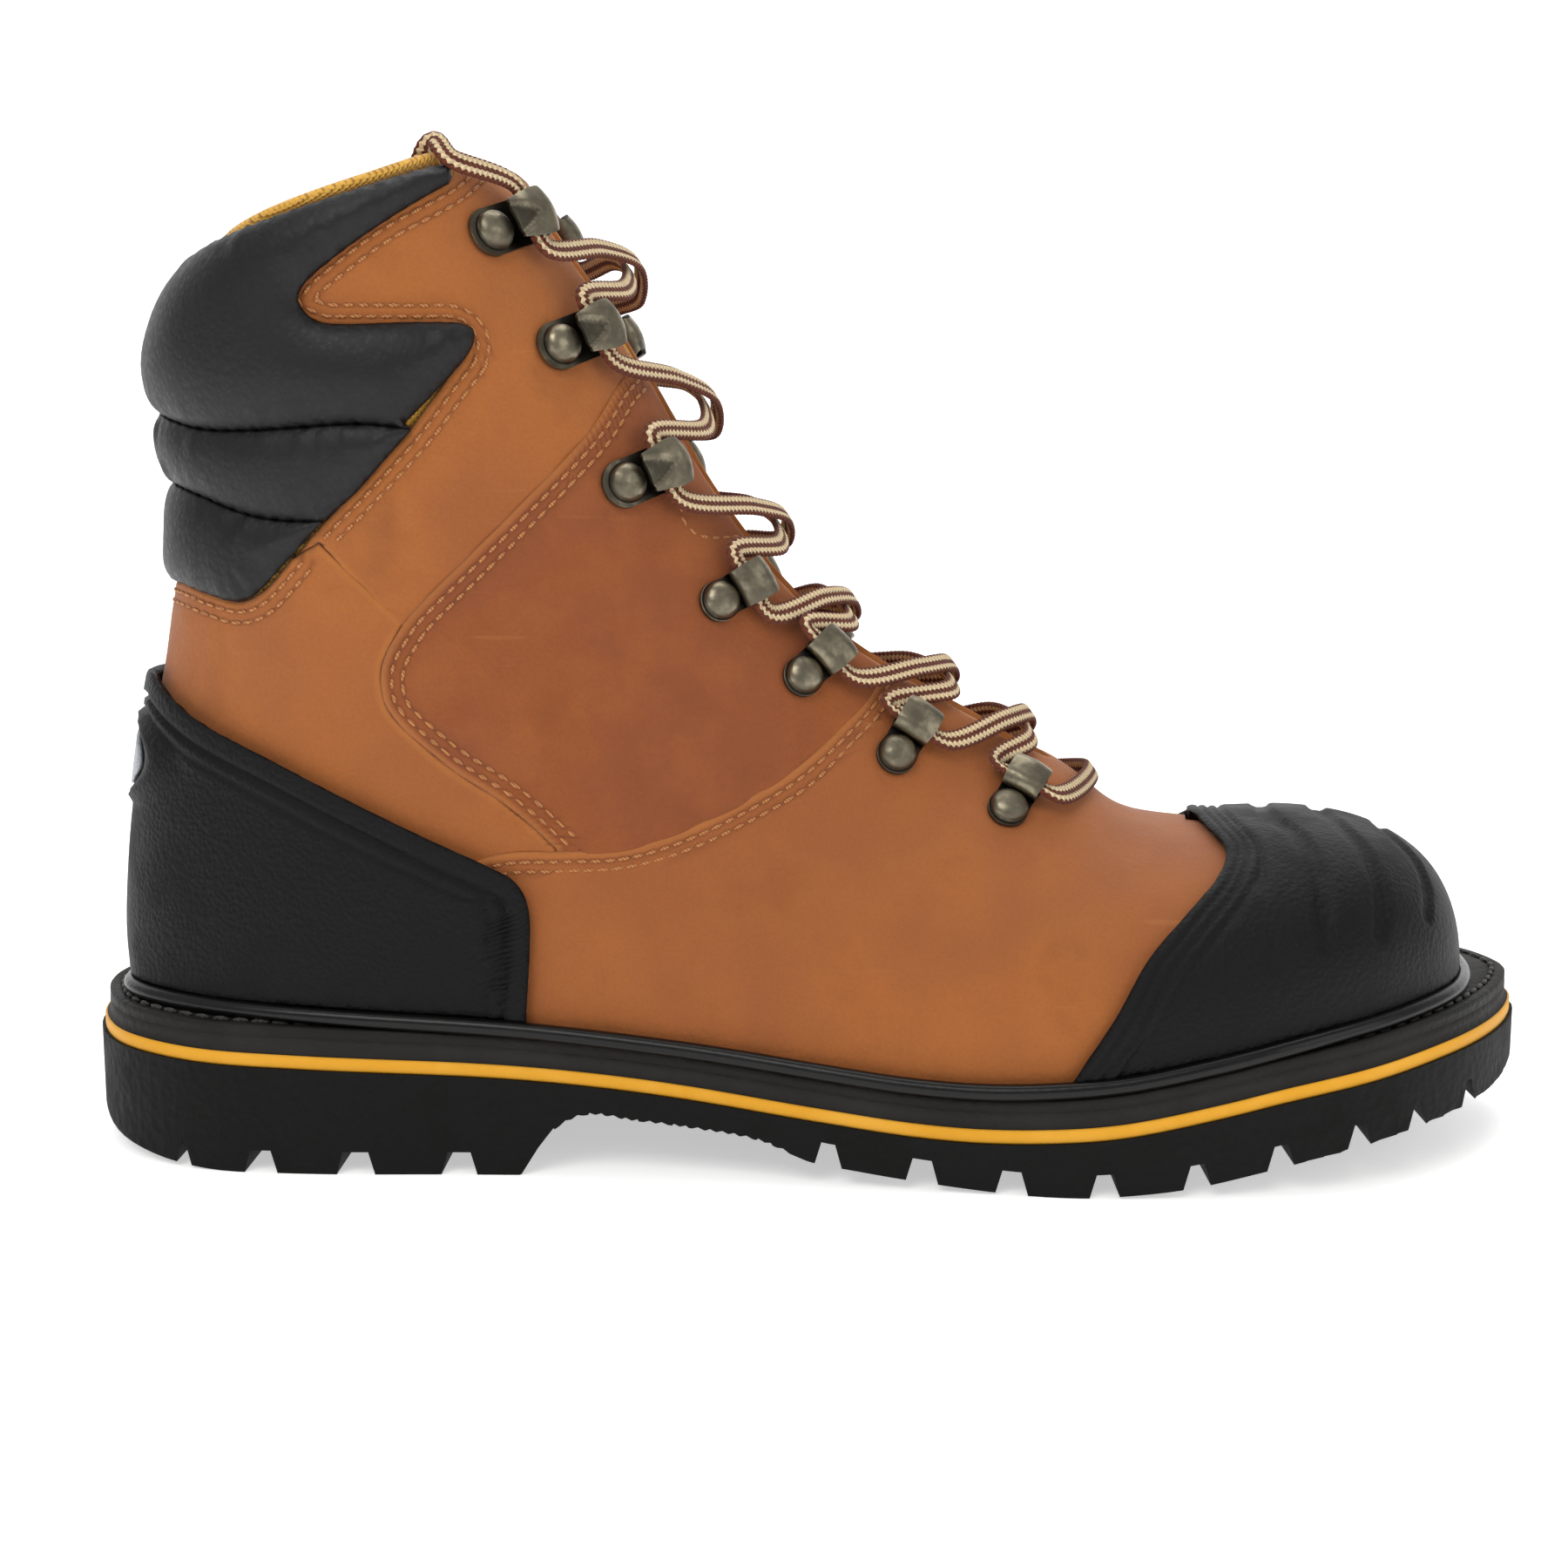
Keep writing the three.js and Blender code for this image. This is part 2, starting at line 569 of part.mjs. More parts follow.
// upper
const shellCache = new Map();
function trimmedShell(inner, outer) {
  const key = inner + "," + outer;
  if (!shellCache.has(key)) shellCache.set(key, shell(inner, outer).intersect(upperWindow));
  return shellCache.get(key);
}
const lateral = (points) => sidePrism(points, -farY, -gap / 2);
const medial = (points) => sidePrism(points, gap / 2, farY);
const both = (points) => sidePrism(points, -farY, farY);
const raise = { shaft: 0.4, back: 0.9, mid: 1.2, vamp: 1.5 };
const skins = {};
for (const [side, half] of [["lateral", lateral], ["medial", medial]]) {
  for (const panel of ["shaft", "mid"]) {
    const layer = trimmedShell(-leatherThickness, raise[panel]);
    skins[`${panel}_panel_${side}`] = layer.intersect(half(region(panel))).subtract(slot);
  }
}
const counterEdge = line([[-170, 104], [-140, 98], [-112, 85], [-80, 62], [-78.5, 5], [-170, 5]]);
const counterInner = -leatherThickness;
const counterOuter = -1.8;
skins.back_panel = trimmedShell(-leatherThickness, raise.back)
  .intersect(both(region("back")))
  .subtract(shell(counterInner - 1, counterOuter + gap).intersect(both(grown(counterEdge, gap))));
const capOuter = -1;
const capEdge = line([[86, 95], [79, 5], [165, 5], [165, 95]]);
skins.vamp = trimmedShell(capOuter + gap, raise.vamp).intersect(both(region("vamp"))).subtract(slot);
const boardSpace = inside(-5.4, above(0), above(boardTop + gap));
const liningOuter = -leatherThickness - gap;
const liningInner = liningOuter - liningThickness;
piece("lining", "mesh", trimmedShell(liningInner, liningOuter).subtract(slot).subtract(boardSpace));
piece("steel_toe", "steel", trimmedShell(-leatherThickness, capOuter).intersect(both(capEdge)));
const vampLiningEdge = line([[86, 95], [79, 5], [-76, 5], [-76, 62], [-72, 68], [30, 115]]);
const underVamp = both(grown(regions.vamp, -gap / 2)).subtract(both(grown(capEdge, gap)));
let underVampSolid = trimmedShell(-leatherThickness, capOuter).intersect(underVamp).subtract(slot);
const stiffener = trimmedShell(counterInner, counterOuter).intersect(both(counterEdge));
piece("heel_stiffener", "board", stiffener);

const toeEdge = outline(
  curve([
    [76, 77], [81, 71], [86, 68.3], [87.5, 65.5], [84, 61.5], [77, 56], [68, 47.5], [61, 36], [53.5, 24],
    [48, 12],
  ]),
  line([[165, 5], [165, 95]]),
);
const guardEdge = outline(
  line([[-165, 104], [-139.5, 101.5], [-136.5, 99]]),
  curve([[-136.5, 99], [-127, 93.2], [-110, 85.7], [-92, 77], [-77, 69.8], [-65, 64.2]]),
  curve([[-65, 64.2], [-60, 61], [-57.5, 55.5], [-57.3, 47], [-58, 35], [-58.5, 10]]),
  line([[-165, 5]]),
);
const overBead = weltRun.map(([x, z]) => [x, z + 2 * beadRadius + 4 * gap]);
const guardFoot = both([...overBead, [scaleX(170), 240], [scaleX(-170), 240]]);
const guardInner = raise.vamp + gap;
const guardOuter = guardInner + 1.8;
const rimRise = 0.9; // the moulded rim over the guard's face
const moved = (points, dx, dz) => points.map(([x, z]) => [x + dx, z + dz]);
function guard(edge, dx, dz) {
  const face = shell(guardInner, guardOuter).intersect(both(edge));
  const band = both(edge).subtract(both(moved(edge, dx, dz)));
  const rim = shell(guardInner + rimRise, guardOuter + rimRise).intersect(band);
  return face.add(rim).intersect(guardFoot);
}
piece("toe_guard", "rubber", guard(toeEdge, 3, -0.8));
const badge = { height: 82.5, halfWidth: 16, halfHeight: 6.6, thickness: 0.8, frame: 3, corners: 24 };
const ovalAcross = (margin) => {
  const points = Array.from({ length: badge.corners }, (_, i) => {
    const k = (2 * Math.PI * i) / badge.corners;
    const [wide, high] = [badge.halfWidth + margin, badge.halfHeight + margin];
    return [wide * Math.cos(k), scaleZ(badge.height) + high * Math.sin(k)];
  });
  const geometry = extruded(points, 60);
  geometry.rotateX(Math.PI / 2);
  geometry.rotateZ(Math.PI / 2);
  geometry.translate(scaleX(-170), 0, 0);
  return solidFrom(geometry);
};
const ovalFrame = ovalAcross(1 + badge.frame)
  .subtract(ovalAcross(1))
  .intersect(shell(guardInner + rimRise, guardOuter + rimRise + 0.2));
piece("heel_guard", "rubber", guard(guardEdge, -2.6, -3).add(ovalFrame));
const badgeShell = shell(guardOuter + gap, guardOuter + gap + badge.thickness);
piece("heel_badge", "reflective", badgeShell.intersect(ovalAcross(0)));

// collar pads, each swelling between its seams
const [seamUpperZ, seamLowerZ] = [profile(seamUpperPoints), profile(seamLowerPoints)];
const padFootZ = profile([
  [-150, 121.5], [-131, 121], [-124, 119.3], [-117, 118], [-112, 119.8], [-106, 125.8], [-99, 131],
]);
const padBase = 1.4;
const bulge = (lowZ, highZ, height) => (p) => {
  const [low, high] = [lowZ(p.x), highZ(p.x)];
  const u = (2 * p.z - low - high) / (high - low);
  return padBase + height * Math.sqrt(Math.max(0, 1 - u * u));
};
const pads = [
  ["collar_pad_upper", "padUpper", bulge(seamUpperZ, toplineZ, padHeight), 0.2, 3.2],
  ["collar_pad_middle", "padMiddle", bulge(seamLowerZ, seamUpperZ, padHeight * 0.75), 1.6, 4],
  ["collar_pad_lower", "padLower", bulge(padFootZ, seamLowerZ, padHeight * 0.75), 2, 4.8],
];
for (const [name, place, offset, t0, t1] of pads) {
  const body = skin(offset, t0, t1, 9, 8).subtract(skin(0.4 - leatherThickness, 0, 5.7, 6, 8));
  piece(name, "collarLeather", body.intersect(upperWindow).intersect(both(region(place))));
}

// binding rolled along the topline
const bindingRadius = 1.15;
function toplinePoint(angle, side, offset, rise) {
  const over = (t) => {
    const point = skinPoint(t, angle, side, offset);
    return point.z - toplineZ(point.x);
  };
  const point = skinPoint(solve(over, 0, 3), angle, side, offset);
  return point.setZ(point.z + rise);
}
const bindingPath = [];
const bindingOffset = -(leatherThickness + 1.7) / 2; // its middle, from the surface of the last
const bindingStart = 0.62;
const bindingSteps = 22;
for (let i = 0; i <= bindingSteps; i++) {
  const k = -Math.PI + bindingStart + ((2 * Math.PI - 2 * bindingStart) * i) / bindingSteps;
  const side = k < 0 ? -1 : 1;
  bindingPath.push(toplinePoint(Math.PI - Math.abs(k), side, bindingOffset, bindingRadius + gap));
}
piece("collar_binding", "mesh", sweep(bindingPath, roundSection(bindingRadius, 5), upwards));

// tongue, hinged where it is stitched under the vamp
const tongueOuter = liningInner - 2 * gap;
const tongueRegion = line([
  [-95, 195], [-52, 126], [-12, 84], [36, 56], [53, 58], [75, 90], [-40, 240], [-100, 240],
]);
const tonguePlan = [[-120, 21], [-40, 23], [20, 20], [53, 15]];
const tongueOutline = [
  ...tonguePlan.map(([x, y]) => [scaleX(x), -y]),
  ...reversed(tonguePlan.map(([x, y]) => [scaleX(x), y])),
];
const tongue = shell(tongueOuter - tongueThickness, tongueOuter)
  .intersect(sidePrism(tongueRegion, -40, 40))
  .intersect(planPrism(tongueOutline, 0, farZ))
  .intersect(upperWindow);
piece("tongue", "leather", tongue);

// ---- lace hardware ----
// where a point of the side view lies on the lateral half of the last
function locate(x, z) {
  let best = [0, 0, Infinity];
  for (let i = 0; i <= 120; i++) {
    for (let j = 0; j <= 60; j++) {
      const [t, angle] = [0.5 + (13 * i) / 120, 0.2 + (1.6 * j) / 60];
      const p = lastPoint(t, alongAt(angle), -1);
      const miss = Math.hypot(p.x - scaleX(x), p.z - scaleZ(z));
      if (miss < best[2]) best = [t, angle, miss];
    }
  }
  return best;
}

// A frame on the skin: x towards the lace opening, z out of the leather.
const squareness = 0.45; // how far x turns to stand square to the facing's edge
function skinFrame(t, angle, side, offset) {
  const out = lastNormal(t, angle, side);
  const place = skinPoint(t, angle, side, offset);
  const ring = skinPoint(t, angle - 0.02, side, offset).sub(place).normalize();
  const down = skinPoint(t + 0.1, angle, side, offset).sub(place).normalize();
  const square = new THREE.Vector3().crossVectors(out, down).multiplyScalar(-side);
  const forward = ring.lerp(square, squareness);
  forward.addScaledVector(out, -forward.dot(out)).normalize();
  const across = new THREE.Vector3().crossVectors(out, forward);
  return new THREE.Matrix4().makeBasis(forward, across, out).setPosition(place);
}

// A bent strap drawn in side view, z over x, as wide as halfWidth either way.
function bentStrap(profilePoints, halfWidth) {
  const geometry = extruded(profilePoints, 2 * halfWidth);
  geometry.rotateX(Math.PI / 2);
  geometry.translate(0, halfWidth, 0);
  return solidFrom(geometry);
}
const arc = (x, z, radius, from, to, steps) =>
  Array.from({ length: steps + 1 }, (_, i) => {
    const k = THREE.MathUtils.degToRad(from + ((to - from) * i) / steps);
    return [x + radius * Math.cos(k), z + radius * Math.sin(k)];
  });
const strap = plateThickness;
const shankHole = planPrism(arc(0, 0, rivetShank + gap, 0, 300, 5), -1, 3);

const hookReach = 14; // rivet to the outside of the bend
const hookHeight = 6.2;
const overHook = 9;
function hookSolid() {
  const plate = planPrism([...arc(-0.6, 0, 5, 90, 270, 5), [6, -4.6], [6, 4.6]], 0, strap);
  const radius = hookHeight / 2;
  const bend = hookReach - radius;
  const outer = [[4, 0], ...arc(bend, radius, radius, -90, 90, 4), [4.5, hookHeight + 0.3]];
  const inner = [
    [4.3, hookHeight - strap + 0.4], ...arc(bend, radius, radius - strap, 90, -90, 4), [4, strap],
  ];
  const halfHood = [[3.9, 2.8], [7, 4.2], [hookReach + 1, 5.6]];
  const hood = planPrism([...halfHood.map(([x, y]) => [x, -y]), ...reversed(halfHood)], -1, overHook);
  const halfWindow = [[6.2, 0.5], [10.5, 2.2]];
  const windowPlan = [...halfWindow.map(([x, y]) => [x, -y]), ...reversed(halfWindow)];
  const window = planPrism(windowPlan, strap + 1.5, overHook);
  const folded = bentStrap([...outer, ...inner], 6).intersect(hood).subtract(window);
  return plate.add(folded).subtract(shankHole);
}

const loopStart = 4; // rivet to the near side of the barrel
const loopReach = loopStart + laceWidth + 5; // rivet to the far side
const loopHeight = 5.4;
const loopHalfWidth = 4.1;
const loopWall = 0.9;
function loopSolid() {
  const plate = planPrism([...arc(-0.4, 0, 4.3, 90, 270, 4), [5.5, -3.8], [5.5, 3.8]], 0, strap);
  const radius = loopHeight / 2;
  const [rear, front] = [loopStart + radius, loopReach - radius];
  const ring = (inset) => [
    ...arc(front, radius, radius - inset, -90, 90, 4),
    ...arc(rear, radius, radius - inset, 90, 270, 4),
  ];
  const bored = bentStrap(ring(loopWall), loopHalfWidth + 1);
  const barrel = bentStrap(ring(0), loopHalfWidth).subtract(bored);
  return plate.add(barrel).subtract(shankHole);
}

function rivetSolid() {
  const seat = strap + 0.1;
  const foot = -leatherThickness + 0.2;
  const shape = [
    [0, foot], [rivetShank, foot], [rivetShank, seat], [rivetRadius, seat],
    [rivetRadius - 0.7, seat + 1.1], [0, seat + 1.8],
  ];
  const turned = shape.map(([x, y]) => new THREE.Vector2(x, y));
  const geometry = new THREE.LatheGeometry(turned, 7);
  geometry.rotateX(Math.PI / 2);
  return solidFrom(geometry);
}

const rivets = [
  ["hook", 1, -64, 190, "shaft_panel"],
  ["hook", 2, -51, 168, "shaft_panel"],
  ["hook", 3, -38, 143, "mid_panel"],
  ["loop", 4, -19, 118, "mid_panel"],
  ["loop", 5, -2, 101, "mid_panel"],
  ["loop", 6, 18, 85, "vamp"],
  ["loop", 7, 41, 73, "vamp"],
];
const plateLift = 0.2;
const hook = hookSolid();
const loop = loopSolid();
const rivet = rivetSolid();
const bore = planPrism(arc(0, 0, rivetShank + gap, 0, 300, 5), -leatherThickness - 2, 4);
const seats = [];
for (const [kind, number, x, z, panel] of rivets) {
  const [t, angle] = locate(x, z);
  const height = raise[panel.split("_")[0]] + plateLift;
  for (const [name, side] of [["lateral", -1], ["medial", 1]]) {
    const frame = skinFrame(t, angle, side, height);
    seats.push({ kind, number, side, t, frame });
    piece(`${kind}_${name}_${number}`, "brass", kind === "hook" ? hook : loop, frame);
    piece(`rivet_${name}_${number}`, "brass", rivet, frame);
    const target = panel === "vamp" ? "vamp" : `${panel}_${name}`;
    skins[target] = skins[target].subtract(bore.transform(frame.elements));
    if (panel === "vamp") underVampSolid = underVampSolid.subtract(bore.transform(frame.elements));
  }
}
for (const [name, solid] of Object.entries(skins)) piece(name, "leather", solid);
piece("vamp_lining", "board", underVampSolid);

// ---- lace: one length, criss-crossed up from the bottom pair, ends tucked inside the shaft ----
const laceSeat = {
  hook: { x: 8.6, z: 3.2, half: 7.2 },
  loop: { x: loopReach - 5.2, z: loopHeight / 2, half: loopHalfWidth + 1.5 * laceWidth - 2.2 },
};
function lacePass(number, side) {
  const seat = seats.find((s) => s.number === number && s.side === side);
  const { x, z, half } = laceSeat[seat.kind];
  const centre = new THREE.Vector3(x, 0, z).applyMatrix4(seat.frame);
  const along = new THREE.Vector3().setFromMatrixColumn(seat.frame, 1);
  // upwards along the boot, whichever side this is
  if (along.z < 0) along.negate();
  const upper = centre.clone().addScaledVector(along, half);
  const lower = centre.clone().addScaledVector(along, -half);
  return { upper, centre, lower, t: seat.t };
}
const crossLift = laceThickness / 2 + 0.5;
const laceClear = 4.2; // height of a strand over the last between two hooks
const looseness = [4, 3, 2, 0.6, 0.3, 0.3];
const crossShare = bootHeight / nominalHeight; // hooks that stand nearer are crossed sooner
const crossAngle = 0.24;
function crossing(from, to, above) {
  const slack = looseness[from.number - 1];
  return [0.25, 0.5, 0.75].map((u) => {
    const t = from.t + (to.t - from.t) * crossShare * (0.15 + 0.7 * u);
    const atMiddle = u === 0.5;
    const middleLift = slack + (above ? crossLift : -crossLift);
    const lift = atMiddle ? middleLift : slack / 2 + (above ? 0.5 : -0.1);
    const side = u < 0.5 ? from.side : to.side;
    return skinPoint(t, atMiddle ? 0 : crossAngle, side, laceClear + lift);
  });
}
// an end of the lace, over the topline and down inside the shaft
const tuckAngle = 0.85;
const tuckDepth = -7.8;
const tuck = (side) => [
  skinPoint(2.2, tuckAngle, side, tuckDepth),
  skinPoint(1.7, tuckAngle, side, tuckDepth),
  toplinePoint(tuckAngle, side, tuckDepth - 0.2, -3),
  toplinePoint(tuckAngle, side, bindingOffset, 5.8),
  toplinePoint(tuckAngle, side, 3.6, 0),
];
// every strand down from a top hook to the bottom pair, changing sides at each
function strand(start, above) {
  const passes = rivets.map(([, number], i) => {
    const side = i % 2 ? -start : start;
    return { ...lacePass(number, side), number, side };
  });
  return passes.flatMap((pass, i) => {
    const next = passes[i + 1];
    const over = next ? crossing(pass, next, (i % 2 === 0) === above) : [];
    return [pass.upper, pass.centre, pass.lower, ...over];
  });
}
const lowest = seats.find((seat) => seat.number === rivets.length).t + 0.6;
const lacePath = [
  ...tuck(-1),
  ...strand(-1, true),
  skinPoint(lowest, 0, -1, laceClear),
  ...strand(1, false).reverse(),
  ...tuck(1).reverse(),
];
const laceCurve = new THREE.CatmullRomCurve3(lacePath, false, "centripetal");
const lacePoints = laceCurve.getSpacedPoints(160);
const laceSection = [
  [laceWidth / 2, 0], [laceWidth / 4, laceThickness / 2], [-laceWidth / 4, laceThickness / 2],
  [-laceWidth / 2, 0], [-laceWidth / 4, -laceThickness / 2], [laceWidth / 4, -laceThickness / 2],
];
// the flat of the lace faces out from the middle of the boot
const middleLine = new THREE.Line3(
  new THREE.Vector3(scaleX(-95), 0, scaleZ(190)),
  new THREE.Vector3(scaleX(20), 0, scaleZ(20)),
);
const laceFacing = (p) => {
  const axis = middleLine.closestPointToPoint(p, true, new THREE.Vector3());
  return p.clone().sub(axis).normalize();
};
piece("lace", "lace", sweep(lacePoints, laceSection, laceFacing));

export default boot;
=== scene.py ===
import json
import math
import bpy
import numpy as np
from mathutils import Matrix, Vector
from mathutils.geometry import delaunay_2d_cdt

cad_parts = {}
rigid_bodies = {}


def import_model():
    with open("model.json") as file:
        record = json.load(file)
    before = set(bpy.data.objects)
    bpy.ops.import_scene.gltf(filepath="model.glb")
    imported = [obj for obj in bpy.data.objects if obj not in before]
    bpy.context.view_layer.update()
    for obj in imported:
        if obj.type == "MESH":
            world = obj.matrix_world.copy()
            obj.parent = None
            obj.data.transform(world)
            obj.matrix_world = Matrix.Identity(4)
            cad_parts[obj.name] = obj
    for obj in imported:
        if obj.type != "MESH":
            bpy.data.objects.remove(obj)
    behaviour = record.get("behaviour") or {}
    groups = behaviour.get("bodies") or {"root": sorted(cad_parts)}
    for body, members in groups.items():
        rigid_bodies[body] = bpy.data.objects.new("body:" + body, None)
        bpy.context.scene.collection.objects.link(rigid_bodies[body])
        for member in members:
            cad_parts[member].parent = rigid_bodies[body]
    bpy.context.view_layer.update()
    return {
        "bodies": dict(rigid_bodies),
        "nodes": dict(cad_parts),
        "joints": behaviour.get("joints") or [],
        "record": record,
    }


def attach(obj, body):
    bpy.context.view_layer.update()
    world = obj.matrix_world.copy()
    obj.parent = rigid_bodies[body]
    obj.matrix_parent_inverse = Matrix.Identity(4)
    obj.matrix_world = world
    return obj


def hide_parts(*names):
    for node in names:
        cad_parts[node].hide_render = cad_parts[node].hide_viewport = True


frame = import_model()
mm = 0.001
pi = math.pi
print("frame loaded:", len(frame["nodes"]), "solids")

# camera, light and floor
viewSetup = {"place": (0.0009, -0.467, 0.1481), "lens": 48.94, "down": 8.827, "yaw": 0.81}


def makeCamera(setup):
    data = bpy.data.cameras.new("camera")
    data.lens = setup["lens"]
    data.sensor_width = 36
    data.clip_start = 0.01
    data.clip_end = 50
    camera = bpy.data.objects.new("camera", data)
    bpy.context.collection.objects.link(camera)
    down, yaw = math.radians(setup["down"]), math.radians(setup["yaw"])
    ahead = Vector((-math.sin(yaw) * math.cos(down), math.cos(yaw) * math.cos(down), -math.sin(down)))
    camera.location = setup["place"]
    camera.rotation_euler = ahead.to_track_quat("-Z", "Y").to_euler()
    bpy.context.scene.camera = camera


def softLight(name, place, target, size, power):
    data = bpy.data.lights.new(name, "AREA")
    data.shape = "RECTANGLE"
    data.size, data.size_y = size
    data.energy = power
    data.color = (1.0, 0.985, 0.965)
    light = bpy.data.objects.new(name, data)
    light.location = place
    light.rotation_euler = (Vector(target) - Vector(place)).to_track_quat("-Z", "Y").to_euler()
    bpy.context.collection.objects.link(light)


def makeStudio():
    world = bpy.data.worlds.new("studio")
    bpy.context.scene.world = world
    world.use_nodes = True
    back = world.node_tree.nodes["Background"]
    back.inputs["Color"].default_value = (1.0, 1.0, 1.0, 1.0)
    back.inputs["Strength"].default_value = 0.46
    softLight("keyLight", (-0.45, -1.0, 1.15), (0, 0, 0.1), (0.9, 0.7), 7.5)
    softLight("fillLight", (0.95, -0.8, 0.55), (0, 0, 0.08), (0.8, 0.8), 2.4)
    softLight("topLight", (0.0, 0.25, 1.3), (0, 0, 0.1), (1.2, 0.8), 6)
    # a floor that runs up into a wall behind
    bend, depth, wide = 0.6, 1.1, 3.5
    profile = [(-2.5, 0.0), (depth, 0.0)]
    profile += [(depth + bend * math.sin(a), bend * (1 - math.cos(a))) for a in np.linspace(0.12, pi / 2, 14)]
    profile.append((depth + bend, 4.0))
    points = [(x, y, z) for y, z in profile for x in (-wide, wide)]
    faces = [(2 * i, 2 * i + 1, 2 * i + 3, 2 * i + 2) for i in range(len(profile) - 1)]
    mesh = bpy.data.meshes.new("floor")
    mesh.from_pydata(points, [], faces)
    mesh.shade_smooth()
    floor = bpy.data.objects.new("floor", mesh)
    bpy.context.collection.objects.link(floor)
    material = bpy.data.materials.new("palePaper")
    material.use_nodes = True
    shader = material.node_tree.nodes["Principled BSDF"]
    shader.inputs["Base Color"].default_value = (0.93, 0.93, 0.93, 1)
    shader.inputs["Roughness"].default_value = 0.9
    shader.inputs["Emission Color"].default_value = (1, 1, 1, 1)
    shader.inputs["Emission Strength"].default_value = 0.5
    mesh.materials.append(material)
    settings = bpy.context.scene.view_settings
    settings.view_transform = "Standard"
    settings.look = "None"


makeCamera(viewSetup)
makeStudio()
print("camera and studio ready")

# the last: the surface that every panel is drawn on, in mm
# front x, front z, back x, back z, lateral and medial half width, centre y,
# widest place, crown roundness, foot roundness, width left at the back end
lastTable = np.array([
    [-74, 222, -112, 206, 38.5, 38.5, 0, 0.5, 2.2, 2.3, 0.02],
    [-61, 205, -124, 190, 41, 41, 0, 0.5, 2.2, 2.3, 0.02],
    [-42, 178.5, -136, 166, 41, 41, 0, 0.5, 2.1, 2.3, 0.02],
    [-22, 145.5, -134.5, 137, 39, 39, 0, 0.5, 2.0, 2.2, 0.02],
    [-9, 127, -138, 112, 37.5, 37, 0, 0.5, 2.0, 2.2, 0.02],
    [3, 114, -143.5, 86, 36.5, 36, 0, 0.5, 2.0, 2.2, 0.03],
    [17, 104, -147, 60, 36, 35.5, 0, 0.55, 2.0, 2.2, 0.06],
    [27, 98, -147, 40, 36, 35.5, 0, 0.58, 2.0, 2.2, 0.16],
    [34, 94, -141, 26.5, 36, 35.5, 0, 0.6, 2.0, 2.2, 0.42],
    [41, 89.5, -120, 24.5, 36.5, 35.5, 0, 0.64, 2.0, 2.2, 0.78],
    [48, 84.5, -90, 23.5, 37.5, 36, 0, 0.66, 2.0, 2.3, 0.92],
    [57, 78, -35, 18, 41, 38, 0, 0.64, 2.0, 2.4, 0.93],
    [65, 71.5, 10, 13, 46.5, 42, 0, 0.66, 2.0, 2.4, 0.94],
    [75, 67.5, 50, 13, 49.5, 46.5, 0, 0.66, 2.1, 2.4, 0.95],
    [91, 65.5, 87, 18, 48.5, 46, 0.5, 0.64, 2.2, 2.4, 0.95],
    [109, 65.5, 111, 23, 43, 42, 1.5, 0.6, 2.3, 2.4, 0.95],
    [123, 63, 126, 25.5, 35, 36, 3, 0.55, 2.3, 2.4, 0.94],
    [132.5, 57.5, 135, 27, 25.5, 28, 4, 0.55, 2.2, 2.3, 0.9],
    [138.5, 49, 139.5, 28.5, 14, 16, 5, 0.52, 2.0, 2.2, 0.8],
    [141.2, 39.4, 141.2, 38.8, 0.5, 0.5, 5.5, 0.5, 2.0, 2.0, 0.5],
])
lastEnd = len(lastTable) - 1


def stationAt(t):
    t = np.clip(t, 0, lastEnd)
    i = np.clip(np.floor(t).astype(int), 0, lastEnd - 1)
    u = (t - i)[:, None]
    a, b, c, d = (lastTable[np.clip(i + j, 0, lastEnd)] for j in (-1, 0, 1, 2))
    square = 2 * a - 5 * b + 4 * c - d
    cubic = -a + 3 * b - 3 * c + d
    return 0.5 * (2 * b + (c - a) * u + square * u**2 + cubic * u**3)


# q holds t, the station, and k, the angle round it: 0 on the front ridge, negative on the
# lateral side, positive on the medial side, minus or plus pi down the back
def lastPoint(q):
    k = (q[:, 1] + pi) % (2 * pi) - pi
    side = np.where(k < 0, -1.0, 1.0)
    along = (1 - np.cos(np.abs(k))) / 2
    fx, fz, bx, bz, lateral, medial, centre, widest, crown, foot, end = stationAt(q[:, 0]).T
    width = np.where(side < 0, lateral, medial)
    u = np.clip(along / widest, 0, 1)
    high = np.maximum(0, 1 - (1 - u) ** crown) ** (1 / crown)
    v = np.clip((along - widest) / (1 - widest), 0, 1)
    low = (1 - end) * np.maximum(0, 1 - v**foot) ** (1 / foot) + end
    share = np.where(along < widest, high, low)
    return np.stack([fx + (bx - fx) * along, centre + side * width * share, fz + (bz - fz) * along], 1)


def slopes(q):
    dt, dk = np.array([0.05, 0]), np.array([0, 0.012])
    lowT, highT = np.maximum(q - dt, [0, -99]), np.minimum(q + dt, [lastEnd, 99])
    alongT = (lastPoint(highT) - lastPoint(lowT)) / (highT - lowT)[:, :1]
    alongK = (lastPoint(q + dk) - lastPoint(q - dk)) / 0.024
    return alongT, alongK


def unit(v):
    return v / np.maximum(np.linalg.norm(v, axis=1, keepdims=True), 1e-9)


def outward(q):
    alongT, alongK = slopes(q)
    normal = unit(np.cross(alongT, alongK))
    tip = np.clip((q[:, :1] - 18.4) / 0.6, 0, 1) ** 2  # the toe closes to a point
    normal = normal * (1 - tip) + np.array([0.985, 0.0, 0.17]) * tip
    return unit(normal)


def skin(q, height=0.0):
    return lastPoint(q) + outward(q) * np.reshape(height, (-1, 1))


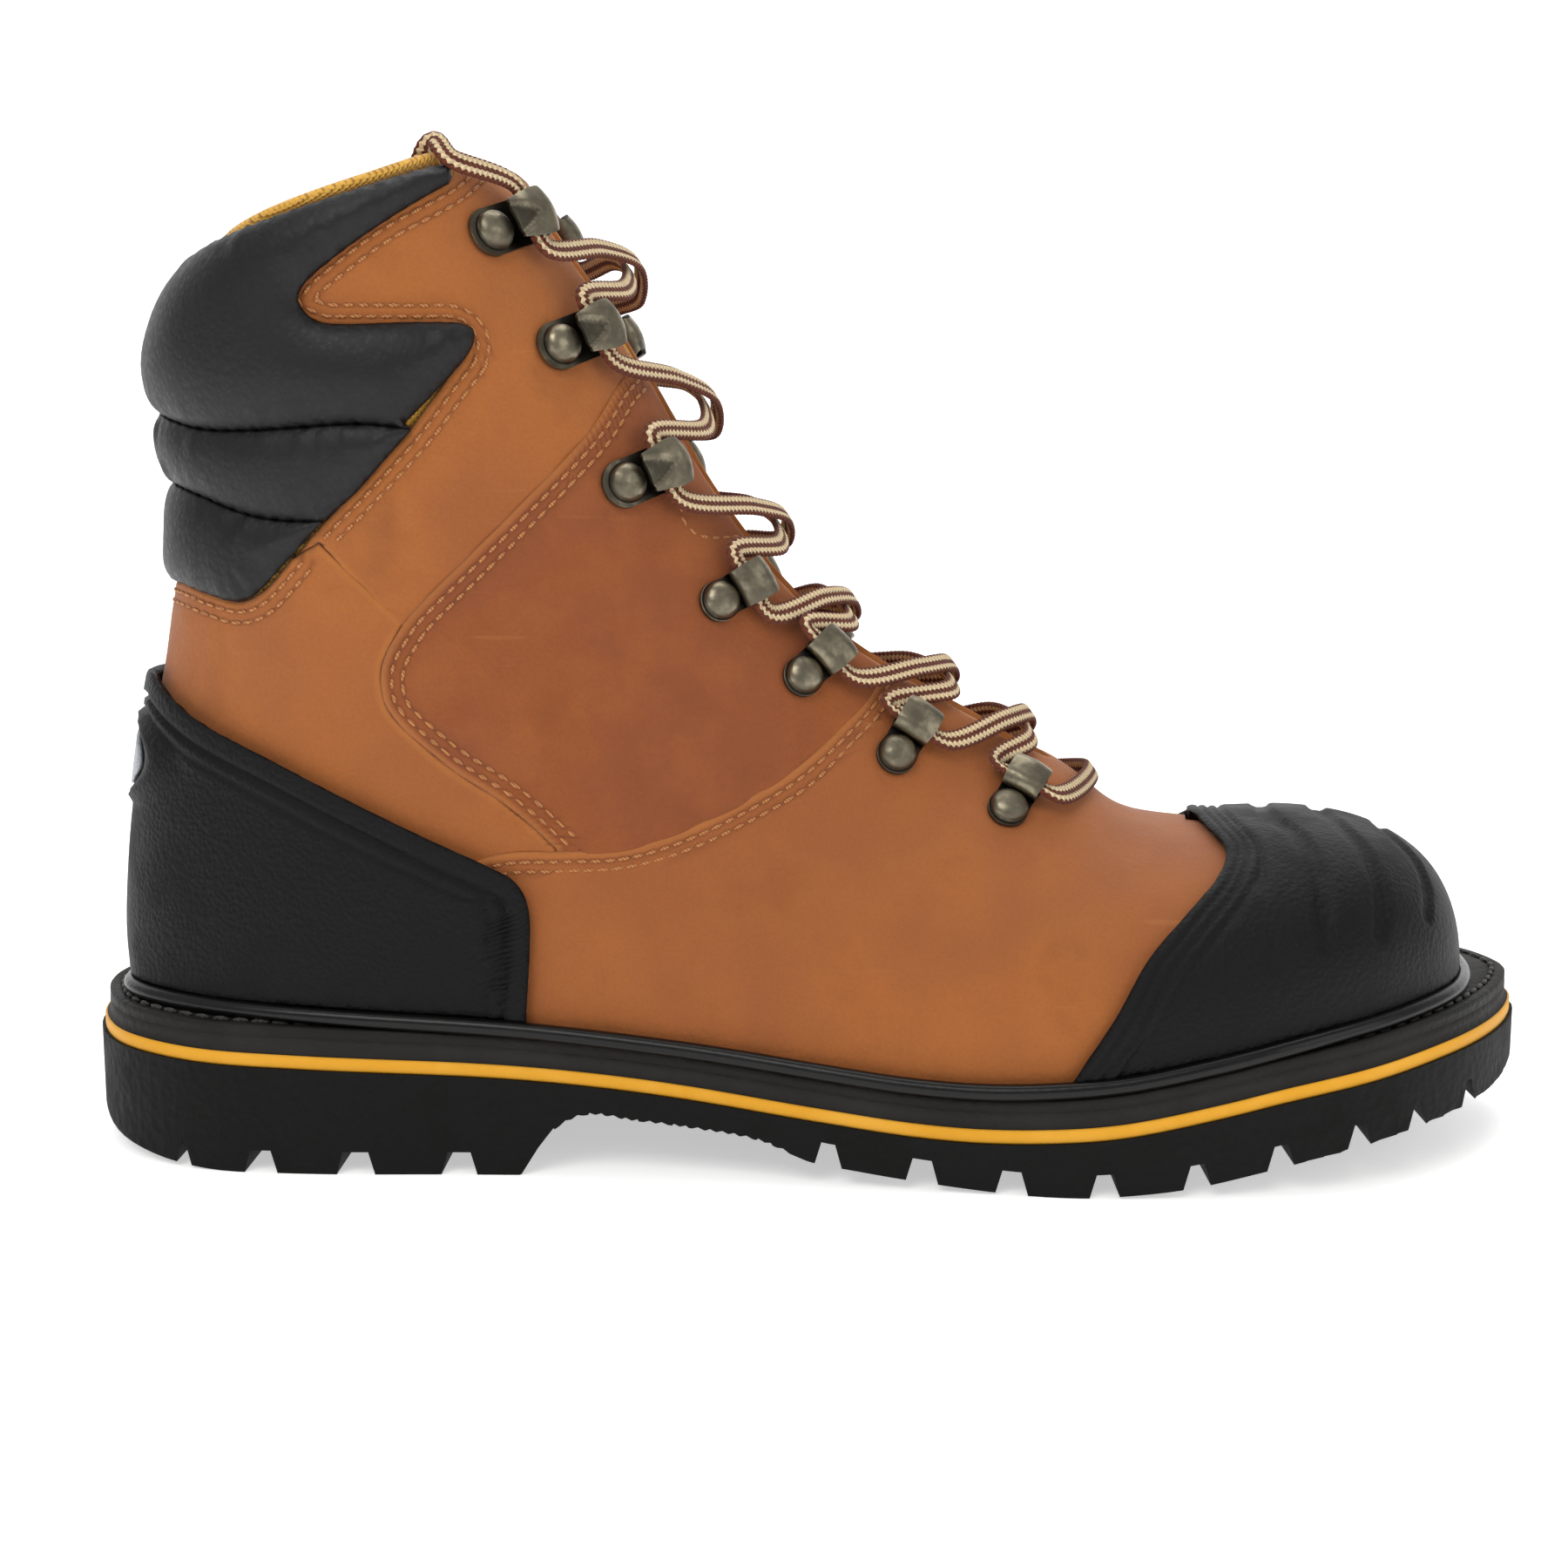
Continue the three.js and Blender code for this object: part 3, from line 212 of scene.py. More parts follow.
def smoothRun(points, per=7):
    p = np.array(points, float)
    p = np.vstack([2 * p[0] - p[1], p, 2 * p[-1] - p[-2]])
    run = []
    for i in range(1, len(p) - 2):
        for u in np.arange(per) / per:
            a, b, c, d = p[i - 1:i + 3]
            run.append(0.5 * (2 * b + (c - a) * u + (2 * a - 5 * b + 4 * c - d) * u**2
                              + (-a + 3 * b - 3 * c + d) * u**3))
    return np.array(run + [p[-2]])


def halved(low, high, tooFar):
    # the value between low and high past which tooFar is true
    for _ in range(30):
        middle = (low + high) / 2
        over = tooFar(middle)
        low, high = np.where(over, low, middle), np.where(over, middle, high)
    return (low + high) / 2


searchGrid = {}


def onSkin(points, height=0.0):
    # the place on the lateral side whose side view is at each x, z
    points = np.array(points, float)
    if height not in searchGrid:
        t, k = np.meshgrid(np.linspace(0, lastEnd, 420), np.linspace(-pi + 0.001, -0.001, 200), indexing="ij")
        q = np.stack([t.ravel(), k.ravel()], 1)
        searchGrid[height] = (q, skin(q, height)[:, [0, 2]])
    grid, spots = searchGrid[height]
    found = np.array([grid[np.argmin(((spots - p) ** 2).sum(1))] for p in points])
    for _ in range(6):
        miss = points - skin(found, height)[:, [0, 2]]
        jt = (skin(found + [0.01, 0], height) - skin(found - [0.01, 0], height))[:, [0, 2]] / 0.02
        jk = (skin(found + [0, 0.005], height) - skin(found - [0, 0.005], height))[:, [0, 2]] / 0.01
        j = np.stack([jt, jk], 2)
        jj = np.einsum("nij,nik->njk", j, j) + np.eye(2) * 2.0
        step = np.linalg.solve(jj, np.einsum("nij,ni->nj", j, miss)[:, :, None])[:, :, 0]
        found = found + np.clip(step, -0.15, 0.15)
        found[:, 0] = np.clip(found[:, 0], 0, lastEnd)
        found[:, 1] = np.clip(found[:, 1], -pi, 0)
    return found


def drawn(points, height=0.0, per=7):
    return onSkin(smoothRun(points, per), height)


def straight(points, height=0.0):
    p = np.array(points, float)
    run = [p[i] + (p[i + 1] - p[i]) * u for i in range(len(p) - 1) for u in np.arange(8) / 8]
    return onSkin(np.array(run + [p[-1]]), height)


def roundBack(run):
    return (run * [1, -1] - [0, 2 * pi])[::-1]


def closedLoop(*runs):
    loop = np.vstack(runs)
    place = lastPoint(loop)
    step = np.linalg.norm(place - np.roll(place, 1, axis=0), axis=1)
    return loop[step > 0.15]


def evenly(run, step, closed=True, corner=32):
    # the run's points spaced evenly over the surface, its corners kept
    place = lastPoint(run)
    count = len(run)
    if closed:
        before, after = place - np.roll(place, 1, axis=0), np.roll(place, -1, axis=0) - place
        lengths = np.linalg.norm(before, axis=1) * np.linalg.norm(after, axis=1)
        cosine = (before * after).sum(1) / np.maximum(1e-9, lengths)
        stops = list(np.nonzero(cosine < math.cos(math.radians(corner)))[0]) or [0]
        stops.append(stops[0] + count)
    else:
        stops = [0, count - 1]
    made = []
    for a, b in zip(stops[:-1], stops[1:]):
        index = np.arange(a, b + 1) % count
        part, spots = run[index], place[index]
        length = np.concatenate([[0], np.cumsum(np.linalg.norm(np.diff(spots, axis=0), axis=1))])
        n = max(1, round(length[-1] / step))
        at = np.linspace(0, length[-1], n + 1)
        even = np.stack([np.interp(at, length, part[:, 0]), np.interp(at, length, part[:, 1])], 1)
        made.append(even[:-1] if closed else even)
    return np.vstack(made)


def isInside(points, loop):
    inside = np.zeros(len(points), bool)
    a, b = loop, np.roll(loop, -1, axis=0)
    for (x0, y0), (x1, y1) in zip(a, b):
        if y0 == y1:
            continue
        crosses = (y0 > points[:, 1]) != (y1 > points[:, 1])
        at = x0 + (points[:, 1] - y0) * (x1 - x0) / (y1 - y0)
        inside ^= crosses & (points[:, 0] < at)
    return inside


def nearest(points, line):
    # distance to the closest line point and its index
    far, index = np.empty(len(points)), np.empty(len(points), int)
    for i in range(0, len(points), 2000):
        d = ((points[i:i + 2000, None] - line[None]) ** 2).sum(2)
        index[i:i + 2000] = d.argmin(1)
        far[i:i + 2000] = np.sqrt(d.min(1))
    return far, index


def insetRun(run, distance, closed=True):
    # the run moved over the surface by distance, to the left of its own direction
    place = lastPoint(run)
    if closed:
        ahead = np.roll(place, -1, axis=0) - np.roll(place, 1, axis=0)
    else:
        ahead = np.gradient(place, axis=0)
    normal = outward(run)
    sideways = unit(np.cross(normal, ahead))
    alongT, alongK = slopes(run)
    j = np.stack([alongT, alongK], 2)
    jj = np.einsum("nij,nik->njk", j, j) + np.eye(2) * 1e-3
    return run + np.linalg.solve(jj, np.einsum("nij,ni->nj", j, sideways * distance)[:, :, None])[:, :, 0]


def pulse(far, centre, width):
    return np.exp(-((far - centre) / width) ** 2)


def step(far, start, width=0.35):
    return 1 / (1 + np.exp(-(far - start) / (width * 0.3)))


def runLength(place):
    return np.concatenate([[0], np.cumsum(np.linalg.norm(np.diff(place, axis=0), axis=1))])


def panelSheet(loop, spacing=2.2, edgeStep=1.5, rings=(0.35, 0.8, 1.4, 2.1, 2.9, 3.7, 4.4, 5.2)):
    # triangles over the loop, with rows that follow its edge
    loop = evenly(loop, edgeStep)
    edge = lastPoint(loop)
    inner = insetRun(loop, 0.5)
    turn = 1 if isInside(inner, loop).mean() > 0.5 else -1
    points = [loop]
    for ring in rings:
        moved = insetRun(loop, turn * ring)
        keep = isInside(moved, loop)
        moved = moved[keep]
        far, _ = nearest(lastPoint(moved), edge)
        points.append(moved[far > 0.93 * ring])
    t0, t1 = loop[:, 0].min(), loop[:, 0].max()
    k0, k1 = loop[:, 1].min(), loop[:, 1].max()
    alongT, alongK = slopes(loop)
    stepT = spacing / np.median(np.linalg.norm(alongT, axis=1))
    stepK = spacing / np.median(np.linalg.norm(alongK, axis=1))
    t, k = np.meshgrid(np.arange(t0, t1, stepT), np.arange(k0, k1, stepK), indexing="ij")
    k = k + (np.arange(t.shape[0])[:, None] % 2) * stepK / 2
    grid = np.stack([t.ravel(), k.ravel()], 1)
    grid = grid[isInside(grid, loop)]
    far, _ = nearest(lastPoint(grid), edge)
    points.append(grid[far > rings[-1] + 0.45 * spacing])
    flat = np.vstack(points)
    scale = np.array([1 / stepT, 1 / stepK])
    count = len(loop)
    made = delaunay_2d_cdt([Vector(p) for p in flat * scale], [], [list(range(count))], 1, 1e-5)
    q = np.array([tuple(v) for v in made[0]]) / scale
    faces = [tuple(f) for f in made[2]]
    return q, faces, loop


def putMesh(name, points, faces, attributes=None, smooth=True, uv=None):
    mesh = bpy.data.meshes.new(name)
    mesh.from_pydata([tuple(p) for p in np.asarray(points, float) * mm], [], faces)
    mesh.validate()
    for key, values in (attributes or {}).items():
        mesh.attributes.new(key, "FLOAT", "POINT").data.foreach_set("value", np.asarray(values, np.float32))
    if uv is not None:
        layer = mesh.uv_layers.new(name="along")
        corner = np.zeros(len(mesh.loops), int)
        mesh.loops.foreach_get("vertex_index", corner)
        layer.data.foreach_set("uv", np.asarray(uv, np.float32)[corner].ravel())
    if smooth:
        mesh.shade_smooth()
    piece = bpy.data.objects.new(name, mesh)
    bpy.context.collection.objects.link(piece)
    return piece


def facedOut(q, faces, points):
    # each triangle turned so that it looks out of the last
    normal = outward(q)
    f = np.array(faces)
    across = np.cross(points[f[:, 1]] - points[f[:, 0]], points[f[:, 2]] - points[f[:, 0]])
    flip = (across * normal[f].mean(1)).sum(1) < 0
    f[flip] = f[flip][:, ::-1]
    return [tuple(int(i) for i in row) for row in f]


def thicken(piece, thickness, place=-1.0):
    modifier = piece.modifiers.new("thickness", "SOLIDIFY")
    modifier.thickness = thickness * mm
    modifier.offset = place
    modifier.use_even_offset = False


def bake(piece):
    # what the modifiers make, as the piece's own plain mesh
    graph = bpy.context.evaluated_depsgraph_get()
    made = bpy.data.meshes.new_from_object(piece.evaluated_get(graph))
    piece.modifiers.clear()
    piece.data = made
    return piece


def ripple(place, size, seed):
    # a slow, repeatable unevenness from about -1 to 1
    dice = np.random.default_rng(seed)
    total = np.zeros(len(place))
    for _ in range(9):
        direction = dice.normal(size=3)
        direction /= np.linalg.norm(direction)
        total += np.sin(place @ direction * 2 * pi / (size * dice.uniform(0.6, 1.7)) + dice.uniform(0, 2 * pi))
    return total / 4.5


# finishes
def colour(r, g, b):
    # from display values 0 to 255
    return tuple(((c / 255 + 0.055) / 1.055) ** 2.4 if c > 10 else c / 255 / 12.92 for c in (r, g, b)) + (1.0,)


class Tree:
    # a short way to lay nodes and join them
    def __init__(self, tree):
        self.tree = tree

    def add(self, kind, settings=None, **inputs):
        node = self.tree.nodes.new(kind)
        for key, value in (settings or {}).items():
            setattr(node, key, value)
        for key, value in inputs.items():
            self.feed(node, key.replace("_", " "), value)
        return node

    def feed(self, node, socket, value):
        target = node.inputs[socket] if isinstance(socket, (str, int)) else socket
        if isinstance(value, bpy.types.NodeSocket):
            self.tree.links.new(value, target)
        else:
            target.default_value = value

    def math(self, operation, a, b=None):
        node = self.add("ShaderNodeMath", {"operation": operation})
        self.feed(node, 0, a)
        if b is not None:
            self.feed(node, 1, b)
        return node.outputs[0]

    def mix(self, share, a, b):
        node = self.add("ShaderNodeMix", {"data_type": "RGBA"})
        self.feed(node, 0, share)
        self.feed(node, 6, a)
        self.feed(node, 7, b)
        return node.outputs[2]

    def spread(self, value, low, high, toLow=0.0, toHigh=1.0):
        node = self.add("ShaderNodeMapRange", {"interpolation_type": "SMOOTHSTEP"})
        for i, v in enumerate((value, low, high, toLow, toHigh)):
            self.feed(node, i, v)
        return node.outputs[0]

    def noise(self, vector, scale, detail=4.0, rough=0.55):
        node = self.add("ShaderNodeTexNoise", Scale=scale, Detail=detail, Roughness=rough)
        self.feed(node, "Vector", vector)
        return node.outputs["Fac"]

    def attribute(self, name):
        return self.add("ShaderNodeAttribute", {"attribute_name": name}).outputs["Fac"]

    def place(self):
        return self.add("ShaderNodeTexCoord").outputs["Object"]

    def group(self, made, **inputs):
        node = self.add("ShaderNodeGroup", {"node_tree": made})
        for key, value in inputs.items():
            self.feed(node, key, value)
        return node


def startGroup(name, inputs, outputs):
    # every socket is a plain value, but the one named vector
    made = bpy.data.node_groups.new(name, "ShaderNodeTree")
    for way, keys in (("INPUT", inputs), ("OUTPUT", outputs)):
        for key in keys:
            kind = "NodeSocketVector" if key == "vector" else "NodeSocketFloat"
            made.interface.new_socket(name=key, in_out=way, socket_type=kind)
    tree = Tree(made)
    return made, tree, tree.add("NodeGroupInput"), tree.add("NodeGroupOutput")


def makeGrain():
    # pebbled hide or moulded rubber: cells of one size broken by a finer noise
    made, tree, given, result = startGroup("hideGrain", ("vector", "scale", "softness"), ("height",))
    cells = tree.add("ShaderNodeTexVoronoi", {"feature": "SMOOTH_F1"}, Smoothness=0.35)
    tree.feed(cells, "Vector", given.outputs["vector"])
    tree.feed(cells, "Scale", given.outputs["scale"])
    fine = tree.noise(given.outputs["vector"], tree.math("MULTIPLY", given.outputs["scale"], 2.7), 5.0, 0.65)
    both = tree.math("ADD", tree.math("MULTIPLY", cells.outputs["Distance"], given.outputs["softness"]),
                     tree.math("MULTIPLY", fine, 0.6))
    tree.feed(result, "height", both)
    return made


def makePatches():
    # slow cloudy patches, given as a mask
    made, tree, given, result = startGroup("patches", ("vector", "scale", "low", "high"), ("mask",))
    slow = tree.noise(given.outputs["vector"], given.outputs["scale"], 3.0, 0.6)
    tree.feed(result, "mask", tree.spread(slow, given.outputs["low"], given.outputs["high"]))
    return made


def makeScuffs():
    # thin pale scratches in one slanting direction
    made, tree, given, result = startGroup("scuffs", ("vector", "scale", "amount"), ("mask",))
    turn = tree.add("ShaderNodeMapping", Rotation=(0.0, 0.5, 0.0), Scale=(1.0, 1.0, 11.0))
    tree.feed(turn, "Vector", given.outputs["vector"])
    lines = tree.noise(turn.outputs[0], given.outputs["scale"], 2.0, 0.5)
    where = tree.noise(given.outputs["vector"], tree.math("MULTIPLY", given.outputs["scale"], 0.3), 2.0, 0.5)
    mask = tree.math("MULTIPLY", tree.spread(lines, 0.66, 0.74), tree.spread(where, 0.5, 0.62))
    tree.feed(result, "mask", tree.math("MULTIPLY", mask, given.outputs["amount"]))
    return made


def makeWeave():
    # crossed threads over two coordinates
    made, tree, given, result = startGroup("weave", ("vector", "scale"), ("height", "holes",))
    split = tree.add("ShaderNodeSeparateXYZ")
    grown = tree.add("ShaderNodeVectorMath", {"operation": "SCALE"})
    tree.feed(grown, 0, given.outputs["vector"])
    tree.feed(grown, "Scale", given.outputs["scale"])
    tree.feed(split, 0, grown.outputs[0])
    a = tree.math("SINE", tree.math("ADD", split.outputs[0], split.outputs[1]))
    b = tree.math("SINE", tree.math("SUBTRACT", split.outputs[2], split.outputs[1]))
    both = tree.math("MULTIPLY", a, b)
    tree.feed(result, "height", tree.math("MULTIPLY", tree.math("ADD", both, 1.0), 0.5))
    tree.feed(result, "holes", tree.spread(both, 0.35, 0.8))
    return made


grainGroup, patchGroup, scuffGroup, weaveGroup = makeGrain(), makePatches(), makeScuffs(), makeWeave()


def startMaterial(name, roughness, **sockets):
    material = bpy.data.materials.new(name)
    material.use_nodes = True
    tree = Tree(material.node_tree)
    shader = material.node_tree.nodes["Principled BSDF"]
    shader.inputs["Roughness"].default_value = roughness
    for key, value in sockets.items():
        shader.inputs[key.replace("_", " ")].default_value = value
    return material, tree, shader


def bumped(tree, shader, height, strength, distance):
    bump = tree.add("ShaderNodeBump", Strength=strength, Distance=distance)
    tree.feed(bump, "Height", height)
    tree.feed(shader, "Normal", bump.outputs[0])


def nubuckFinish(name, base, pale, dark, patchSeed):
    # oiled nubuck: cloudy tan, paler where it bends over an edge, dark where it took oil
    material, tree, shader = startMaterial(name, 0.78, Sheen_Weight=0.12, Sheen_Roughness=0.6,
                                           Specular_IOR_Level=0.32)
    place = tree.place()
    moved = tree.add("ShaderNodeMapping", Location=patchSeed)
    tree.feed(moved, "Vector", place)
    spot = moved.outputs[0]
    cloudy = tree.group(patchGroup, vector=spot, scale=17.0, low=0.36, high=0.66).outputs[0]
    oiled = tree.group(patchGroup, vector=spot, scale=34.0, low=0.55, high=0.76).outputs[0]
    warm = tree.group(patchGroup, vector=spot, scale=70.0, low=0.4, high=0.7).outputs[0]
    skinTone = tree.mix(tree.math("MULTIPLY", cloudy, 0.75), base, pale)
    skinTone = tree.mix(tree.math("MULTIPLY", oiled, 0.42), skinTone, dark)
    skinTone = tree.mix(tree.math("MULTIPLY", warm, 0.22), skinTone, colour(170, 98, 38))
    speckle = tree.noise(place, 1500.0, 3.0, 0.7)
    skinTone = tree.mix(tree.spread(speckle, 0.35, 0.7, 0.0, 0.16), skinTone, dark)
    edge = tree.attribute("edge")
    rim = tree.spread(edge, 0.3, 1.9, 1.0, 0.0)
    skinTone = tree.mix(tree.math("MULTIPLY", rim, 0.55), skinTone, colour(180, 112, 50))
    # painted shade: darker in the stitch-row dips and grooves marked by the seam attribute
    recessShade = tree.attribute("seam")
    skinTone = tree.mix(tree.math("MULTIPLY", recessShade, 0.5), skinTone, colour(98, 46, 15))
    scuffs = tree.group(scuffGroup, vector=place, scale=42.0, amount=0.13).outputs[0]
    skinTone = tree.mix(scuffs, skinTone, colour(198, 136, 72))
    tree.feed(shader, "Base Color", skinTone)
    tree.feed(shader, "Roughness", tree.spread(cloudy, 0.0, 1.0, 0.68, 0.82))
    grain = tree.group(grainGroup, vector=place, scale=900.0, softness=0.5).outputs[0]
    folds = tree.noise(place, 120.0, 3.0, 0.55)
    height = tree.math("ADD", tree.math("MULTIPLY", grain, 0.35), tree.math("MULTIPLY", folds, 0.65))
    bumped(tree, shader, height, 0.42, 0.0012)
    return material


def collarFinish():
    # soft black garment leather with a fine crease grain
    material, tree, shader = startMaterial("collarLeather", 0.42, Specular_IOR_Level=0.32, Coat_Weight=0.06,
                                           Coat_Roughness=0.35)
    place = tree.place()
    grain = tree.group(grainGroup, vector=place, scale=760.0, softness=0.8).outputs[0]
    folds = tree.noise(place, 95.0, 3.0, 0.6)
    cloudy = tree.group(patchGroup, vector=place, scale=40.0, low=0.35, high=0.7).outputs[0]
    tone = tree.mix(cloudy, colour(10, 10, 12), colour(17, 17, 20))
    tree.feed(shader, "Base Color", tree.mix(tree.attribute("seam"), tone, colour(14, 14, 16)))
    tree.feed(shader, "Roughness", tree.spread(grain, 0.2, 0.8, 0.36, 0.52))
    height = tree.math("ADD", tree.math("MULTIPLY", grain, 0.3), tree.math("MULTIPLY", folds, 0.7))
    bumped(tree, shader, height, 0.35, 0.0012)
    return material


def rubberFinish(name, base, pale, roughness, scale, strength, coat=0.0):
    material, tree, shader = startMaterial(name, roughness, Specular_IOR_Level=0.18, Coat_Weight=coat,
                                           Coat_Roughness=0.22)
    place = tree.place()
    grain = tree.group(grainGroup, vector=place, scale=scale, softness=1.0).outputs[0]
    dusty = tree.group(patchGroup, vector=place, scale=55.0, low=0.4, high=0.75).outputs[0]
    tone = tree.mix(tree.math("MULTIPLY", dusty, 0.7), base, pale)
    # painted shade: darker in the grooves marked by the seam attribute
    recessShade = tree.math("MULTIPLY", tree.attribute("seam"), 0.8)
    tree.feed(shader, "Base Color", tree.mix(recessShade, tone, colour(9, 9, 10)))
    tree.feed(shader, "Roughness", tree.spread(dusty, 0.0, 1.0, roughness - 0.05, roughness + 0.08))
    bumped(tree, shader, grain, strength, 0.0006)
    return material


def meshFinish(name, base, deep, scale):
    # knitted spacer mesh: small holes in a shiny yarn, with painted shade in the holes
    material, tree, shader = startMaterial(name, 0.7, Sheen_Weight=0.35, Sheen_Roughness=0.4)
    place = tree.place()
    weave = tree.group(weaveGroup, vector=place, scale=scale)
    cloudy = tree.group(patchGroup, vector=place, scale=60.0, low=0.35, high=0.7).outputs[0]
    tone = tree.mix(tree.math("MULTIPLY", cloudy, 0.4), base, colour(238, 190, 90))
    tree.feed(shader, "Base Color", tree.mix(weave.outputs["holes"], tone, deep))
    bumped(tree, shader, weave.outputs["height"], 0.8, 0.0006)
    return material


def threadFinish(name, base, deep):
    material, tree, shader = startMaterial(name, 0.62, Sheen_Weight=0.25, Sheen_Roughness=0.35)
    place = tree.place()
    twist = tree.add("ShaderNodeTexWave", {"bands_direction": "DIAGONAL"}, Scale=620.0, Distortion=1.5)
    tree.feed(twist, "Vector", place)
    # painted shade: darker in the grooves of the twist
    tree.feed(shader, "Base Color", tree.mix(twist.outputs["Fac"], deep, base))
    bumped(tree, shader, twist.outputs["Fac"], 0.5, 0.0003)
    return material


def brassFinish():
    # antiqued brass: dark patina in the hollows, worn bright on the domes, with painted shade under the hook hoods and
    # loop barrels
    material, tree, shader = startMaterial("antiqueBrass", 0.36, Metallic=1.0)
    place = tree.place()
    tarnish = tree.group(patchGroup, vector=place, scale=210.0, low=0.38, high=0.66).outputs[0]
    wearAndShade = tree.spread(tree.attribute("wearAndShade"), 0.0, 1.0)
    tone = tree.mix(tarnish, colour(104, 98, 84), colour(142, 134, 114))
    # the dark end holds the patina in the hollows and the painted shade under the hoods and barrels
    tone = tree.mix(wearAndShade, colour(46, 43, 38), tone)
    tree.feed(shader, "Base Color", tone)
    tree.feed(shader, "Roughness", tree.spread(tarnish, 0.0, 1.0, 0.46, 0.3))
    bumped(tree, shader, tree.noise(place, 900.0, 4.0, 0.6), 0.2, 0.0003)
    return material


def laceFinish():
    # flat braid: cream and brown strands, their borders stepped stitch by stitch
    material, tree, shader = startMaterial("bootLace", 0.85, Sheen_Weight=0.08, Sheen_Roughness=0.5,
                                           Specular_IOR_Level=0.25)
    uv = tree.add("ShaderNodeUVMap", {"uv_map": "along"}).outputs[0]
    split = tree.add("ShaderNodeSeparateXYZ")
    tree.feed(split, 0, uv)
    run, across = split.outputs[0], split.outputs[1]
    saw = tree.math("PINGPONG", run, 0.5)
    stepped = tree.math("ADD", across, tree.math("MULTIPLY", tree.math("SUBTRACT", saw, 0.25), 0.22))
    fromMiddle = tree.math("ABSOLUTE", tree.math("SUBTRACT", stepped, 0.5))
    creamIn = tree.spread(fromMiddle, 0.105, 0.135)
    creamOut = tree.spread(fromMiddle, 0.345, 0.375, 1.0, 0.0)
    cream = tree.math("MULTIPLY", creamIn, creamOut)
    brown = tree.mix(tree.noise(tree.place(), 700.0), colour(74, 32, 22), colour(122, 60, 38))
    tone = tree.mix(cream, brown, colour(232, 208, 166))
    slant = tree.math("ADD", tree.math("MULTIPLY", run, 2 * pi), tree.math("MULTIPLY", fromMiddle, 9.0))
    braid = tree.math("MULTIPLY", tree.math("ADD", tree.math("SINE", slant), 1.0), 0.5)
    # painted shade: darker in the grooves between the braid stitches
    tree.feed(shader, "Base Color", tree.mix(tree.spread(braid, 0.0, 0.4, 0.35, 0.0), tone, colour(60, 34, 22)))
    bumped(tree, shader, braid, 0.8, 0.0005)
    return material


def steelFinish():
    material, tree, shader = startMaterial("toeSteel", 0.34, Metallic=1.0)
    place = tree.place()
    brushed = tree.add("ShaderNodeMapping", Scale=(1.0, 12.0, 1.0))
    tree.feed(brushed, "Vector", place)
    streaks = tree.noise(brushed.outputs[0], 260.0)
    tree.feed(shader, "Base Color", tree.mix(streaks, colour(150, 152, 156), colour(190, 192, 196)))
    tree.feed(shader, "Roughness", tree.spread(streaks, 0.3, 0.7, 0.28, 0.42))
    bumped(tree, shader, streaks, 0.2, 0.0003)
    return material


def reflectiveFinish():
    # glass bead tape: grey, with painted glints on the bead centres and painted shade between them
    material, tree, shader = startMaterial("reflectiveTape", 0.38, Metallic=0.25, Specular_IOR_Level=0.7)
    place = tree.place()
    beads = tree.add("ShaderNodeTexVoronoi", Scale=2600.0)
    tree.feed(beads, "Vector", place)
    tone = tree.mix(beads.outputs["Distance"], colour(176, 180, 186), colour(120, 124, 130))
    tree.feed(shader, "Base Color", tone)
    bumped(tree, shader, beads.outputs["Distance"], 0.3, 0.0002)
    return material


nubuck = nubuckFinish("nubuckTan", colour(150, 83, 33), colour(168, 99, 42), colour(106, 54, 24), (0.0, 0.0, 0.0))
nubuckMid = nubuckFinish(
    "nubuckMid", colour(130, 65, 24), colour(148, 80, 31), colour(94, 45, 19), (0.4, 0.1, 0.2))
tongueLeather = nubuckFinish(
    "tongueTan", colour(132, 73, 29), colour(150, 88, 38), colour(96, 50, 22), (0.2, 0.5, 0.1))
collarLeather = collarFinish()
guardRubber = rubberFinish("guardRubber", colour(8, 8, 9), colour(16, 16, 17), 0.55, 900.0, 0.4)
weltRubber = rubberFinish("weltRubber", colour(9, 9, 9), colour(18, 18, 18), 0.33, 500.0, 0.12, 0.25)
weltEdge = rubberFinish("weltEdge", colour(26, 25, 24), colour(42, 40, 38), 0.62, 620.0, 0.3)
midsoleRubber = rubberFinish("midsoleRubber", colour(34, 33, 31), colour(48, 46, 43), 0.66, 620.0, 0.3)
treadRubber = rubberFinish("treadRubber", colour(7, 7, 7), colour(15, 15, 14), 0.7, 480.0, 0.4)
stripeRubber = rubberFinish("stripeRubber", colour(222, 158, 40), colour(232, 172, 62), 0.5, 700.0, 0.12)
liningMesh = meshFinish("liningMesh", colour(228, 172, 62), colour(168, 112, 30), 4200.0)
boardFibre = meshFinish("boardFibre", colour(178, 150, 110), colour(150, 122, 86), 2600.0)
corkFill = rubberFinish("corkFill", colour(168, 124, 78), colour(134, 92, 54), 0.85, 300.0, 0.5)
seamThread = threadFinish("seamThread", colour(198, 134, 72), colour(146, 86, 42))
darkThread = threadFinish("darkThread", colour(62, 58, 54), colour(30, 28, 27))
antiqueBrass, bootLace, toeSteel, reflectiveTape = brassFinish(), laceFinish(), steelFinish(), reflectiveFinish()
print("finishes ready")


def finishPiece(piece, body, material, slot, *nodes):
    piece.data.materials.clear()
    piece.data.materials.append(material)
    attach(piece, body)
    if nodes:
        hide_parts(*nodes)


